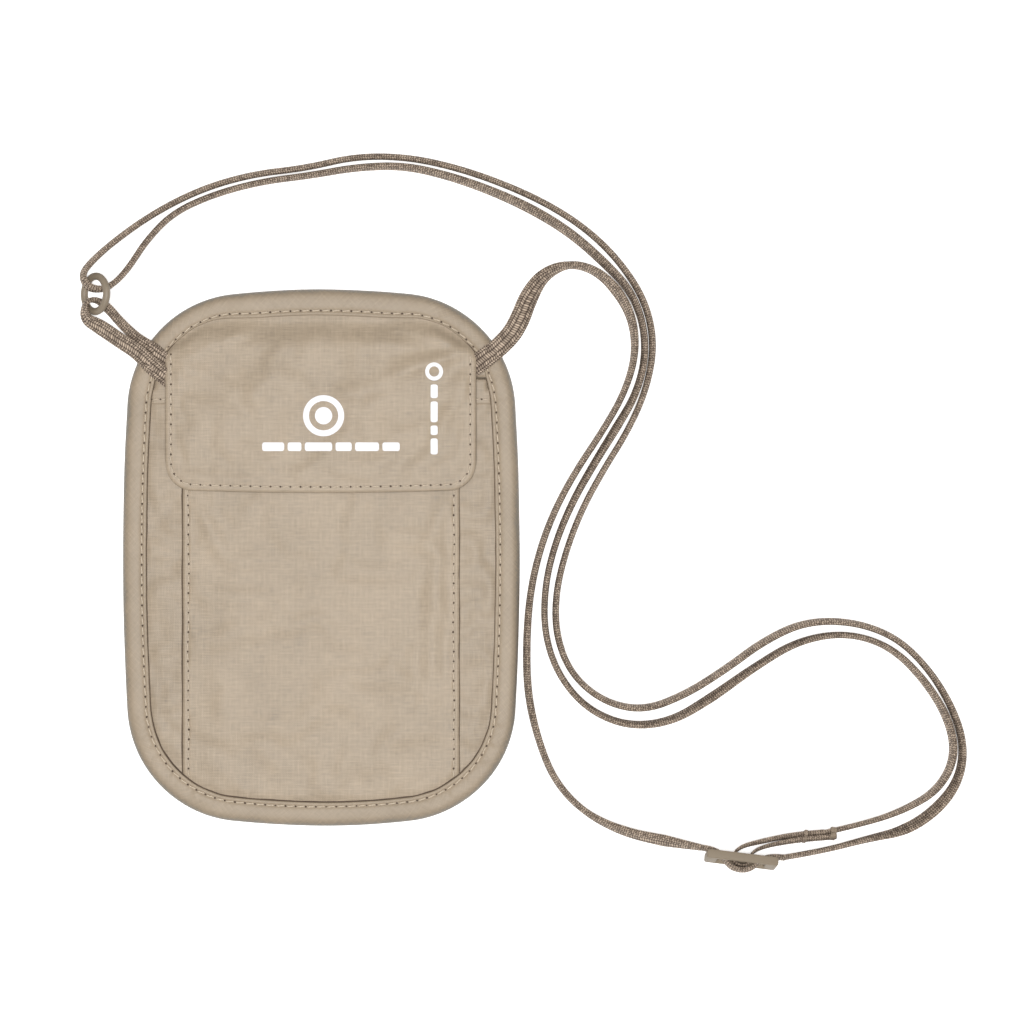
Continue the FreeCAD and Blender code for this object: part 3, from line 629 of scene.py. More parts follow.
class Bundle:
    """Many small meshes gathered into one piece."""

    def __init__(self):
        self.points, self.faces, self.uvs, self.looks = [], [], [], []
        self.count = 0

    def add(self, points, faces, uvs, look=0):
        self.faces.extend([[index + self.count for index in face] for face in faces])
        self.points.append(points)
        self.uvs.append(uvs)
        self.looks.extend([look] * len(faces))
        self.count += len(points)

    def piece(self, name, looks):
        points, uvs = np.concatenate(self.points), np.concatenate(self.uvs)
        return build(name, points, self.faces, uvs, looks, self.looks)


def wrap_tack(bundle, u, half_width, f_low, f_high, count, radius, lift):
    """Thread wound round two strap layers in the slider's own frame."""
    for turn in range(count):
        place = u + (turn - (count - 1) / 2) * radius * 1.9
        angle = np.linspace(0, 2 * math.pi, 25)
        middle, half = (f_low + f_high) / 2, (f_high - f_low) / 2
        v = half_width * np.sign(np.cos(angle)) * np.abs(np.cos(angle)) ** TACK_SQUARENESS
        f = middle + half * np.sign(np.sin(angle)) * np.abs(np.sin(angle)) ** TACK_SQUARENESS
        drift = np.linspace(0, radius * 1.5, len(angle))
        loop = [in_slider(place + shift, b + lift, c) for shift, b, c in zip(drift, v, f)]
        bundle.add(*thread_path(loop, radius, 6, turn * 1.3))


def make_strap():
    """All of the strap: three runs over the floor, and what the slider holds."""
    anchor_run, anchor_points = strap_run("strap_anchor_braid", ANCHOR_ROUTE, ANCHOR_LEAN, ANCHOR_WIDTH,
                                          ANCHOR_DEPTH)
    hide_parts("strap_anchor_run")
    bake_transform(anchor_run)
    long_run, long_points = strap_run("strap_long_braid", LONG_ROUTE, LONG_LEAN, LONG_WIDTH, LONG_DEPTH)
    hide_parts("strap_long_run")
    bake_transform(long_run)
    loop, loop_points = strap_run("strap_loop_braid", LOOP_ROUTE, LOOP_LEAN, LOOP_WIDTH, LOOP_DEPTH)
    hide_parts("strap_loop_left")
    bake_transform(loop)
    weave = slider_strap("strap_weave_braid",
                         [(-14.6, -2.4), (-7.4, -2.5), (-3.6, 3.45), (3.6, 3.45), (7.4, -2.5), (14.6, -2.4)],
                         6.2, {0: 1.8, 2: 1.6, 3: 1.6, 5: 1.8}, "strap_weave")
    fold = slider_strap("strap_fold_braid",
                        [(26.8, -12.4), (18.0, -10.8), (7.8, -7.6), (-2.6, -3.6), (-2.6, 2.1), (2.6, 2.1),
                         (2.6, -2.2), (7.0, -5.4), (18.0, -8.95), (24.0, -10.2), (31.0, -11.6)],
                        5.9, {0: 1.8, 2: 1.6, 4: 0.95, 6: 0.95, 8: 1.8, 10: 1.8}, "strap_fixed_loop")
    tacks = Bundle()
    wrap_tack(tacks, 20.5, 3.12, -12.30, -8.45, 4, 0.12, 0.35)
    wrap_tack(tacks, 29.6, 3.30, -14.20, -10.45, 8, 0.12, 1.1)
    tacks = tacks.piece("strap_fold_stitching", ("tack",))
    finish_piece(tacks, "slider", ["strap_fold_tacks"])
    return anchor_run, anchor_points, long_run, long_points, loop, loop_points, weave, fold, tacks


def make_ring():
    """The moulded ring, with a faint parting line round its outside."""
    low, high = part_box("strap_ring")
    centre = np.array((low + high) / 2) / MM
    radius = (high.y - low.y) / MM / 2 - RING_BAR_CAD
    around, about = 120, 28
    turn = np.arange(around) / around * 2 * math.pi
    inner = np.arange(about) / about * 2 * math.pi
    swell = RING_BAR * (1 + 0.035 * np.exp(-((np.cos(inner) - 1) ** 2) * 160))
    flat = radius + swell[None, :] * np.cos(inner)[None, :]
    x = flat * np.cos(turn)[:, None]
    y = flat * np.sin(turn)[:, None]
    z = np.repeat((swell * np.sin(inner))[None, :], around, 0)
    turned_x = x * math.cos(RING_TILT) - z * math.sin(RING_TILT)
    turned_z = x * math.sin(RING_TILT) + z * math.cos(RING_TILT)
    points = np.stack([turned_x, y, turned_z], -1) + centre
    uvs = sheet_uvs(np.arange(around + 1.0), np.arange(about + 1.0))
    faces = band_quads(around, about, wrap=True)
    piece = build("ring_moulding", points.reshape(-1, 3), faces, uvs, ("ring",))
    return finish_piece(piece, "ring", ["strap_ring"])


def make_slider():
    """The moulded tri-glide: a crowned plate with two slots and softened edges."""
    def block(name, size, place):
        mesh = bpy.data.meshes.new(name)
        half = np.array(size) / 2
        corners = [(sx, sy, sz) for sx in (-1, 1) for sy in (-1, 1) for sz in (-1, 1)]
        points = [tuple((np.array(c) * half + place) * MM) for c in corners]
        sides = [(0, 1, 3, 2), (4, 6, 7, 5), (0, 4, 5, 1), (2, 3, 7, 6), (0, 2, 6, 4), (1, 5, 7, 3)]
        mesh.from_pydata(points, [], sides)
        thing = bpy.data.objects.new(name, mesh)
        scene.collection.objects.link(thing)
        return thing

    plate = block("slider_moulding", SLIDER_PLATE, np.zeros(3))
    for side in (-1, 1):
        cutter = block("cutter", SLIDER_SLOT, np.array([side * SLIDER_SLOT_X, 0.0, 0.0]))
        cut = plate.modifiers.new("slot", "BOOLEAN")
        cut.operation = "DIFFERENCE"
        cut.solver = "EXACT"
        cut.object = cutter
        apply_modifiers(plate)
        bpy.data.objects.remove(cutter)
    soften = plate.modifiers.new("edges", "BEVEL")
    soften.width = SLIDER_ROUND * MM
    soften.segments = 4
    soften.limit_method = "ANGLE"
    apply_modifiers(plate)
    up = in_slider(0, 1, 0) - SLIDER_CENTRE
    ahead = in_slider(1, 0, 0) - SLIDER_CENTRE
    out = in_slider(0, 0, 1) - SLIDER_CENTRE
    for vertex in plate.data.vertices:
        local = np.array(vertex.co) / MM
        crown = SLIDER_CROWN * (1 - (local[0] / (SLIDER_PLATE[0] / 2)) ** 2)
        local[1] += crown if local[1] > 0 else -crown
        vertex.co = (SLIDER_CENTRE + ahead * local[0] + up * local[1] + out * local[2]) * MM
    plate.data.materials.clear()
    plate.data.materials.append(materials["slider"])
    plate.data.polygons.foreach_set("use_smooth", [True] * len(plate.data.polygons))
    plate.data.set_sharp_from_angle(angle=math.radians(50))
    if not plate.data.uv_layers:
        plate.data.uv_layers.new(name="Cloth")
    return finish_piece(plate, "slider", ["strap_slider"])


# ---------------------------------------------------------------- pouch outline

_, binding_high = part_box("edge_binding")
HALF_WIDTH = binding_high.x / MM
HALF_HEIGHT = binding_high.y / MM
BINDING_HEIGHT = binding_high.z / MM
END_RADIUS, SIDE_RADIUS, CORNER_RADIUS = 270.0, 900.0, 39.5
BAND = 7.6
SEAM_INSET = 6.3
FLAP_SEAM_INSET = 2.0
STITCH_SLANT, STITCH_CROWN, STITCH_DIP = 0.12, 0.30, 0.12
HOLE_RADIUS, HOLE_LIFT, HOLE_SIDES = 0.33, 0.035, 10
STITCH_PITCH = 3.4
EDGE_POINTS = 1080

end_centre = np.array([0.0, HALF_HEIGHT - END_RADIUS])
side_centre = np.array([HALF_WIDTH - SIDE_RADIUS, 0.0])


def corner_centre():
    across = side_centre - end_centre
    span = np.linalg.norm(across)
    from_end, from_side = END_RADIUS - CORNER_RADIUS, SIDE_RADIUS - CORNER_RADIUS
    along = (from_end ** 2 - from_side ** 2 + span ** 2) / (2 * span)
    aside = math.sqrt(from_end ** 2 - along ** 2)
    way = across / span
    return end_centre + way * along + np.array([way[1], -way[0]]) * aside


corner = corner_centre()
end_way = (corner - end_centre) / np.linalg.norm(corner - end_centre)
side_way = (corner - side_centre) / np.linalg.norm(corner - side_centre)


def inset_of(points):
    """How far inside the pouch's edge each point lies."""
    p = np.abs(np.asarray(points, float)[:, :2])
    from_corner = p - corner
    turn_end = end_way[0] * from_corner[:, 1] - end_way[1] * from_corner[:, 0]
    turn_side = side_way[0] * from_corner[:, 1] - side_way[1] * from_corner[:, 0]
    end = END_RADIUS - np.linalg.norm(p - end_centre, axis=1)
    side = SIDE_RADIUS - np.linalg.norm(p - side_centre, axis=1)
    arc = CORNER_RADIUS - np.linalg.norm(from_corner, axis=1)
    return np.where((turn_end < 0) & (turn_side > 0), arc, np.minimum(end, side))


def edge_line(count):
    """Points round the pouch's edge an even step apart, from the top middle, with outward ways."""
    def arc(centre, radius, first, last, steps=400):
        angle = np.linspace(first, last, steps)
        way = np.stack([np.cos(angle), np.sin(angle)], 1)
        return centre + way * radius, way

    end_angle = math.atan2(end_way[1], end_way[0])
    side_angle = math.atan2(side_way[1], side_way[0])
    parts = [arc(end_centre, END_RADIUS, math.pi / 2, end_angle),
             arc(corner, CORNER_RADIUS, end_angle, side_angle),
             arc(side_centre, SIDE_RADIUS, side_angle, 0.0)]
    points = np.concatenate([part[0] for part in parts])
    ways = np.concatenate([part[1] for part in parts])
    mirror = np.array([1.0, -1.0])
    points = np.concatenate([points, points[::-1] * mirror])
    ways = np.concatenate([ways, ways[::-1] * mirror])
    points = np.concatenate([points, points[::-1] * -mirror])
    ways = np.concatenate([ways, ways[::-1] * -mirror])
    runs = run_along(points)
    places = np.linspace(0, runs[-1], count, endpoint=False)
    return at_places(places, runs, points), unit(at_places(places, runs, ways)), places, runs[-1]


FRONT_PROFILE = [
    (5.2, 3.45), (7.0, 3.45), (7.5, 3.6), (7.70, 3.88), (7.66, 4.14), (7.46, 4.30), (7.1, 4.34), (6.8, 4.26),
    (6.55, 4.10), (6.3, 4.00), (6.05, 4.10), (5.75, 4.26), (5.3, 4.39), (4.6, 4.48), (3.7, 4.50), (2.8, 4.47),
    (2.0, 4.36), (1.35, 4.12), (0.8, 3.76), (0.38, 3.28), (0.12, 2.78), (0.0, 2.25),
]


def corner_share(points):
    """From 0 on the straight edges to 1 at the pouch's corners."""
    p = np.abs(points)
    reach = np.linalg.norm(p - np.array([HALF_WIDTH, HALF_HEIGHT]), axis=1)
    return 1 - smooth_step(reach, 22.0, 46.0)


def binding_surface(points, way, inset, height, front):
    """Moves a profile point of the binding for its lip's wander, its puffs and its puckers."""
    shares = corner_share(points)
    lower = smooth_step(-points[:, 1], 20.0, 60.0)
    seed = 3.0 if front else 11.0
    seam_share = math.exp(-((inset - 5.2) / 1.5) ** 2)
    lip_share = float(inset > 6.35)
    crown_share = math.exp(-((inset - 3.3) / 2.2) ** 2)
    top = smooth_step(points[:, 1], 58.0, 72.0) * front
    across = np.abs(points[:, 0])
    top_middle = top * (1 - smooth_step(across, 20.0, 36.0))
    top_corner = top * smooth_step(across, 28.0, 46.0)
    fine = wobble(points, 2.3, seed)
    broad = wobble(points, 6.5, seed + 1)
    slow = wobble(points, 24.0, seed + 2)
    pucker = seam_share * (0.16 + 0.55 * shares * (0.35 + 0.65 * lower)) * (0.5 * fine + 0.8 * broad)
    puff = crown_share * (0.16 * slow + (0.10 + 0.22 * shares) * broad)
    lip = lip_share * (0.16 * slow + (0.06 + 0.22 * shares * lower) * broad)
    grown = 0.35 * (1 - inset / 8.0)
    inset_now = inset - grown + lip + 0.12 * slow * (inset < 1)
    inset_now = inset_now + (0.8 * top_middle - 0.35 * top_corner) * smooth_step(inset, 2.0, 7.0)
    inset_now = inset_now - (0.65 + 0.3 * broad) * top_corner * smooth_step(inset, 6.4, 7.4)
    rise = height + (pucker + puff) * (1 if inset > 0.5 else 0)
    xy = points - way * inset_now[:, None]
    z = rise if front else BINDING_HEIGHT - rise
    return np.column_stack([xy, np.broadcast_to(z, len(points))])


def make_binding():
    """The tape round the pouch's edge: its profile carried round, front and back."""
    points, way, places, length = edge_line(EDGE_POINTS)
    rows = [binding_surface(points, way, inset, height, True) for inset, height in FRONT_PROFILE]
    rows += [binding_surface(points, way, inset, height, False) for inset, height in FRONT_PROFILE[-2::-1]]
    rings = np.stack(rows, 1)
    uvs = sheet_uvs(np.append(places, length), run_along(rings[0]))
    faces = band_quads(EDGE_POINTS, rings.shape[1])
    piece = build("binding_band", rings.reshape(-1, 3), faces, uvs, ("binding",))
    return finish_piece(piece, "pouch", ["edge_binding"])


# ---------------------------------------------------------------- sheets

def grid_sheet(name, x_lines, y_lines, height, look, keep=None):
    """A sheet of cloth on a grid of lines; height gives each point's z, keep says which points stay."""
    x, y = np.meshgrid(x_lines, y_lines)
    flat = np.stack([x.ravel(), y.ravel()], 1)
    points = np.column_stack([flat, height(flat)])
    faces = sheet_quads(len(y_lines), len(x_lines))
    if keep is not None:
        faces = faces[keep(flat)[faces].all(1)]
        points, faces = only_used(points, faces)
    return build(name, points, faces, None, (look,))


def lines(low, high, step):
    return np.linspace(low, high, int(round((high - low) / step)) + 1)


def relax(points, faces, pinned, stretch, bend, frames, seed):
    """How far each point of a slack cloth swells out of its plane between its pinned points.

    The simulation runs at ten times real size, without gravity."""
    scale = 0.01
    mesh = bpy.data.meshes.new("settling")
    start = points.copy()
    start[:, 2] = 0.35 * wobble(points, 9.0, seed) * (1 - pinned)
    mesh.from_pydata((start * scale).tolist(), [], faces.tolist())
    cloth_object = bpy.data.objects.new("settling", mesh)
    scene.collection.objects.link(cloth_object)
    group = cloth_object.vertex_groups.new(name="pins")
    for index in np.nonzero(pinned > 0.01)[0]:
        group.add([int(index)], float(pinned[index]), "REPLACE")
    modifier = cloth_object.modifiers.new("cloth", "CLOTH")
    settings = modifier.settings
    settings.quality = 6
    settings.mass = 0.25
    settings.tension_stiffness = 18
    settings.compression_stiffness = 18
    settings.shear_stiffness = 6
    settings.bending_stiffness = bend
    settings.air_damping = 3
    settings.vertex_group_mass = "pins"
    settings.effector_weights.gravity = 0.0
    settings.shrink_min = -stretch
    modifier.collision_settings.use_collision = False
    modifier.collision_settings.use_self_collision = False
    modifier.point_cache.frame_start = 1
    modifier.point_cache.frame_end = frames
    for step in range(1, frames + 1):
        scene.frame_set(step)
    graph = bpy.context.evaluated_depsgraph_get()
    settled = cloth_object.evaluated_get(graph).to_mesh()
    moved = np.array([vertex.co for vertex in settled.vertices], float) / scale
    scene.frame_set(1)
    bpy.data.objects.remove(cloth_object)
    return moved[:, 2]


def soften(values, limit):
    """Holds a swell within a limit on both sides, smoothly."""
    return limit * np.tanh(values / limit)


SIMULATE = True
PANEL_FRAMES = 22


def settled(points, faces, pinned, slack, bend, frames, seed, reach, limit):
    """The simulated swell, scaled so that it mostly stays within reach, and held within limit."""
    swell = relax(points, faces, pinned, slack, bend, frames, seed)
    spread = np.percentile(np.abs(swell), 95) or 1.0
    return soften(swell / spread * reach, limit)


def cloth_panel(name, x_lines, y_lines, height, look, pin, slack, bend, reach, seed, limit, creases=(),
                rounds=(), bias=0.0):
    """A panel with a simulated swell at a chosen height, and drawn creases and rounded edges on top."""
    piece = grid_sheet(name, x_lines, y_lines, height, look, inside(TUCK))
    mesh = piece.data
    points = np.array([vertex.co for vertex in mesh.vertices], float) / MM
    if SIMULATE:
        faces = np.array([polygon.vertices[:] for polygon in mesh.polygons])
        swell = settled(points, faces, pin(points), slack, bend, PANEL_FRAMES, seed, reach, limit)
        points[:, 2] += swell + bias * np.abs(swell)
    else:
        points[:, 2] += reach * 0.5 * wobble(points, 11.0, seed)
    for drawn in creases:
        points[:, 2] += crease(points, *drawn)
    for shape in rounds:
        points[:, 2] += shape(points)
    mesh.vertices.foreach_set("co", (points * MM).ravel())
    mesh.update()
    subdivide(piece)
    apply_modifiers(piece)
    for polygon in piece.data.polygons:
        polygon.use_smooth = True
    return piece


def crease(points, start, end, width, rise):
    """A soft straight wrinkle between two points, fading at its ends."""
    a, b = np.array(start), np.array(end)
    way = b - a
    span = np.linalg.norm(way)
    way = way / span
    rel = points[:, :2] - a
    along = rel @ way / span
    aside = rel @ np.array([-way[1], way[0]])
    fade = smooth_step(along, -0.05, 0.25) * (1 - smooth_step(along, 0.7, 1.1))
    return rise * fade * np.exp(-(aside / width) ** 2)


def tree_of(piece):
    """A ray-casting tree of a piece as it shows, in metres."""
    graph = bpy.context.evaluated_depsgraph_get()
    return BVHTree.FromObject(piece, graph)


ABOVE_ALL = 20.0


def surface(trees, flat):
    """Each point's height on the highest of some surfaces, and the way that the surface faces."""
    heights, normals = [], []
    for x, y in flat:
        best, facing = None, Vector((0, 0, 1))
        for tree in trees:
            hit, normal, _, _ = tree.ray_cast(Vector((x * MM, y * MM, ABOVE_ALL * MM)), Vector((0, 0, -1)))
            if hit is not None and (best is None or hit.z > best):
                best, facing = hit.z, normal
        heights.append(best / MM if best is not None else 0.0)
        normals.append(facing if facing.z > 0 else -facing)
    return np.array(heights), np.array(normals)


def stitch_seam(bundle, path, trees, pitch=STITCH_PITCH, long=2.3, radius=0.27, seed=1.0, flip=1.0,
                base=None):
    """Lockstitches along a flat path: each thread dips into a needle hole at both ends, drawn as a dark disc
    of painted shade.
    """
    runs = run_along(path)
    count = max(1, int(runs[-1] / pitch))
    pitch = runs[-1] / count
    for index in range(count):
        middle = (index + 0.5) * pitch
        jitter = noise.noise(Vector((index * 0.71, seed, 0.3)))
        length = long * (1 + 0.10 * jitter)
        t = np.linspace(-1, 1, 9)
        places = middle + t * length / 2
        spot = at_places(places, runs, path)
        way = unit(spot[-1:] - spot[:1])[0]
        aside = np.array([-way[1], way[0]])
        spot = spot + aside[None, :] * (t * STITCH_SLANT * (1 + 0.6 * jitter))[:, None]
        if base is None:
            z, _ = surface(trees, spot[[0, len(t) // 2, -1]])
            z = np.interp(t, [-1, 0, 1], z)
        else:
            z = np.full(len(t), base)
        lift = ((1 - t ** 4) * STITCH_CROWN - STITCH_DIP) * flip
        bundle.add(*thread_path(np.column_stack([spot, z + lift]), radius, 6, index * 0.9))
        # The needle hole: a dark disc of painted shade, lifted just above the surface.
        hole = at_places(np.array([index * pitch]), runs, path)[0]
        ring = np.linspace(0, 2 * math.pi, HOLE_SIDES, endpoint=False)
        size = HOLE_RADIUS * (1 + 0.25 * jitter)
        rim = np.column_stack([hole[0] + size * np.cos(ring), hole[1] + size * np.sin(ring)])
        rim = np.concatenate([rim, hole[None, :]])
        if base is None:
            rim_z, _ = surface(trees, rim)
        else:
            rim_z = np.full(len(rim), base)
        rim = np.column_stack([rim, rim_z + HOLE_LIFT * flip])
        pairs = [(k, (k + 1) % HOLE_SIDES)[::1 if flip > 0 else -1] for k in range(HOLE_SIDES)]
        bundle.add(rim, [[*pair, HOLE_SIDES] for pair in pairs], np.zeros((3 * HOLE_SIDES, 2)), 1)


# ---------------------------------------------------------------- strap and binding in place

anchor_run, anchor_points, long_run, long_points, loop, loop_points, weave, fold, tacks = make_strap()
make_ring()
make_slider()
binding = make_binding()

# Heights of the layers, thicknesses and outlines, in millimetres
BACK_LEVEL, FRONT_LEVEL, YOKE_LEVEL = 0.72, 2.60, 2.65
BODY_TOP = 3.5
CENTRE_TOP = 3.97
FLAP_TOP = 6.0
FLAP_HALF, FLAP_LOW, FLAP_CORNER, FLAP_BOW = 52.2, 21.7, 9.5, 1.1
FLAP_END = 84.6
FLAP_TOP_EDGE, FLAP_PRESSED = 4.02, 3.72
FLAP_THICK, LINING_THICK, LINING_INSET = 0.38, 0.2, 1.1
EDGE_ROLL, SEAM_DIMPLE, SINK_LIMIT = 0.42, 0.16, 0.30
SHEET_X, SHEET_Y = 64, 88
TUCK = 2.2
CLOTH_THICK, HEM_THICK = 0.3, 0.35
SLIP_MOUTH, CENTRE_MOUTH = 60.25, 48.2
CENTRE_SEAM = 44.6
CLOSURE_HALF_X, CLOSURE_HALF_Y, CLOSURE_Y = 24.0, 6.0, 33.0
SHIELD_X, SHIELD_LOW, SHIELD_CORNERS = 56, 79.8, 0.955


def under_lip(points, drop, reach):
    """Panels sink where the binding presses them down."""
    near = inset_of(points) - BAND
    return -drop * (1 - smooth_step(near, -0.2, reach))


def level(z):
    return lambda flat: np.full(len(flat), z)


def inside(limit):
    return lambda flat: inset_of(flat) > limit


def make_back():
    """One plain panel, held all round by the binding."""
    piece = cloth_panel("back_cloth", lines(-SHEET_X, SHEET_X, 2.9), lines(-SHEET_Y, SHEET_Y, 2.9),
                        level(BACK_LEVEL), "ripstop", lambda p: (inset_of(p) < BAND + 1).astype(float),
                        0.012, 0.2, 0.22, 21.0, 0.25)
    solidify(piece, CLOTH_THICK)
    finish_piece(piece, "pouch", ["back_panel"])


# Drawn creases: from, to, half width and rise
SLIP_CREASES = (
    ((-57.0, 24.0), (-48.0, 5.0), 1.6, 0.34),
    ((-57.5, 8.0), (-47.5, 20.5), 1.6, -0.26),
    ((57.5, -12.0), (48.0, 10.0), 1.8, 0.34),
    ((57.5, 4.0), (48.5, -30.0), 1.8, -0.26),
    ((-57.0, -20.0), (-49.0, -58.0), 2.2, 0.22),
    ((56.5, -36.0), (49.5, -62.0), 2.0, 0.24),
)


def make_front():
    """The main front panel, its top part above the zip, and the slip pocket's layer over it."""
    front = cloth_panel("front_cloth", lines(-SHEET_X, SHEET_X, 2.9),
                        np.append(lines(-SHEET_Y, 56, 2.9), [58.2, 60.4]), level(FRONT_LEVEL), "ripstop",
                        lambda p: ((inset_of(p) < 5) | (p[:, 1] > 59)).astype(float),
                        0.01, 0.2, 0.12, 31.0, 0.14)
    solidify(front, CLOTH_THICK)
    finish_piece(front, "pouch", ["front_body_panel"])

    def yoke_height(flat):
        return YOKE_LEVEL + 0.55 * (1 - smooth_step(flat[:, 1], 62.0, 67.0)) + 0.06 * wobble(flat, 9.0, 33.0)

    def yoke_keep(flat):
        """The part above the zip, and a tab beside each of the zip's ends."""
        return (inset_of(flat) > TUCK) & ((flat[:, 1] > 67.5) | (np.abs(flat[:, 0]) > 51.3))

    across = np.concatenate([lines(-61.0, -51.4, 1.6), lines(-50.0, 50.0, 2.0), lines(51.4, 61.0, 1.6)])
    upward = np.concatenate([lines(60.6, 67.6, 1.4)[:-1], lines(67.6, 87.6, 1.25)])
    upper = grid_sheet("front_top_cloth", across, upward, yoke_height, "ripstop", yoke_keep)
    solidify(upper, CLOTH_THICK)
    finish_piece(upper, "pouch", ["front_yoke_panel"])

    def strip_pins(p):
        held = (inset_of(p) < BAND + 0.6) | (np.abs(p[:, 0]) < 45.5)
        return np.clip(held.astype(float) + (p[:, 1] > 59.5), 0, 1)

    slip = cloth_panel("slip_pocket_cloth", lines(-SHEET_X, SHEET_X, 1.6), lines(-SHEET_Y, 60, 1.85),
                       lambda flat: BODY_TOP - 0.04 + under_lip(flat, 0.35, 1.6), "strip", strip_pins,
                       0.022, 0.06, 0.42, 41.0, 0.42, SLIP_CREASES)
    solidify(slip, CLOTH_THICK)
    finish_piece(slip, "pouch", ["slip_pocket_panel"])

    def hem_height(flat):
        return (BODY_TOP + 0.30 + 0.05 * wobble(flat, 6.0, 43.0)
                - 0.22 * np.exp(-((flat[:, 1] - SLIP_MOUTH) / 0.5) ** 2)
                - 0.25 * (1 - smooth_step(inset_of(flat) - BAND, -0.2, 1.0)))

    hem = grid_sheet("slip_pocket_turned_hem", lines(-57.8, 57.8, 1.7),
                     np.append(lines(51.5, 59.5, 0.8), SLIP_MOUTH), hem_height, "strip", inside(6.4))
    solidify(hem, HEM_THICK)
    finish_piece(hem, "pouch", ["slip_pocket_hem"])
    return upper, slip, hem


def centre_round(points):
    """The centre pocket's folded side edges roll down to the layer below."""
    across = np.abs(points[:, 0])
    return -0.42 * smooth_step(across, 45.95, 46.5) - 0.13 * np.exp(-((across - CENTRE_SEAM) / 0.5) ** 2)


def closure_patch(points, margin):
    """1 where the closure's strips are sewn flat, falling to 0 around them."""
    across = CLOSURE_HALF_X + margin - np.abs(points[:, 0])
    along = CLOSURE_HALF_Y + margin - np.abs(points[:, 1] - CLOSURE_Y)
    return smooth_step(np.minimum(across, along), 0.0, 1.5)


CENTRE_CREASES = (
    ((43.8, 20.5), (29.5, -6.0), 2.4, 0.46), ((-43.5, 20.0), (-32.0, 2.0), 2.4, 0.40),
    ((-40.0, 21.0), (-24.0, 6.0), 3.0, -0.24), ((39.5, 16.0), (36.0, -60.0), 2.8, 0.50),
    ((43.0, 16.0), (41.6, -48.0), 1.5, -0.28), ((33.5, 10.0), (30.5, -60.0), 2.6, -0.22),
    ((26.0, -20.0), (25.0, -76.0), 4.0, 0.26), ((-28.0, 2.0), (-36.0, -70.0), 4.5, 0.24),
    ((-10.0, -64.0), (18.0, -73.0), 3.2, 0.24), ((20.0, -79.0), (40.0, -68.0), 1.7, 0.26),
)


def make_centre():
    """The centre pocket's panel, with finer columns at its folded sides, and its hem."""
    fold = np.array([44.35, 44.85, 45.3, 45.8, 46.2, 46.5])
    x_lines = np.unique(np.concatenate([lines(-44.0, 44.0, 1.6), -fold, fold]))

    def pins(p):
        return ((np.abs(p[:, 0]) > 44.2) | (inset_of(p) < BAND + 0.8) | (p[:, 1] > 47)).astype(float)

    rounds = (
        lambda p: under_lip(p, 0.6, 1.8),
        centre_round,
        lambda p: (CENTRE_TOP - p[:, 2]) * closure_patch(p, 3.0),
    )
    piece = cloth_panel("centre_pocket_cloth", x_lines, lines(-SHEET_Y, 48, 1.9), level(CENTRE_TOP),
                        "ripstop",
                        pins, 0.016, 0.10, 0.40, 51.0, 0.42, CENTRE_CREASES, rounds, bias=0.5)
    solidify(piece, 0.33)
    finish_piece(piece, "pouch", ["centre_pocket_panel"])
    hem = grid_sheet("centre_pocket_turned_hem", lines(-46.2, 46.2, 1.7),
                     np.append(lines(40.5, 47.7, 0.8), CENTRE_MOUTH),
                     lambda flat: CENTRE_TOP + 0.30 + 0.05 * wobble(flat, 6.0, 53.0)
                     - 0.2 * np.exp(-((flat[:, 1] - CENTRE_MOUTH) / 0.5) ** 2), "ripstop")
    solidify(hem, HEM_THICK)
    finish_piece(hem, "pouch", ["centre_pocket_hem"])
    return piece, hem


def make_shields():
    for node, name, z, top in (("rfid_shield_rear", "shield_rear_foil", 1.05, 79.0),
                               ("rfid_shield_front", "shield_front_foil", 2.15, 53.0)):
        piece = grid_sheet(name, lines(-SHIELD_X, SHIELD_X, 2.8), lines(-SHIELD_LOW, top, 2.8),
                           lambda flat, z=z: z + 0.05 * wobble(flat, 5.0, z), "shield", inside(9.2))
        solidify(piece, 0.1)
        finish_piece(piece, "pouch", [node])


# ---------------------------------------------------------------- flap

def flap_edge(x, inset=0.0):
    """The flap's lower edge at each x, rounded at its corners."""
    half = FLAP_HALF - inset
    radius = FLAP_CORNER - inset
    flat = np.minimum(np.abs(x), half - radius)
    y = FLAP_LOW + inset + FLAP_BOW * (flat / half) ** 2
    into = np.clip(np.abs(x) - (half - radius), 0, radius)
    return y + radius - np.sqrt(np.maximum(radius ** 2 - into ** 2, 0))


def flap_level(flat):
    """Height of the flap's outer face: from under the binding's lip, over the closed zip, then level."""
    y = flat[:, 1]
    rise = smooth_step(80.0 - y, 0.0, 9.5)
    dip = 0.25 * np.exp(-((y - 79.0) / 2.6) ** 2)
    level = FLAP_TOP_EDGE - dip + (FLAP_TOP - FLAP_TOP_EDGE) * rise
    inside_lip = inset_of(flat) - BAND
    pressed = (1 - smooth_step(inside_lip, 0.2, 2.4)) * smooth_step(y, 70.0, 73.0)
    pressed = np.maximum(pressed, (1 - smooth_step(inside_lip, -1.3, -0.7)) * (y > 64.0))
    return level * (1 - pressed) + np.minimum(level, FLAP_PRESSED) * pressed


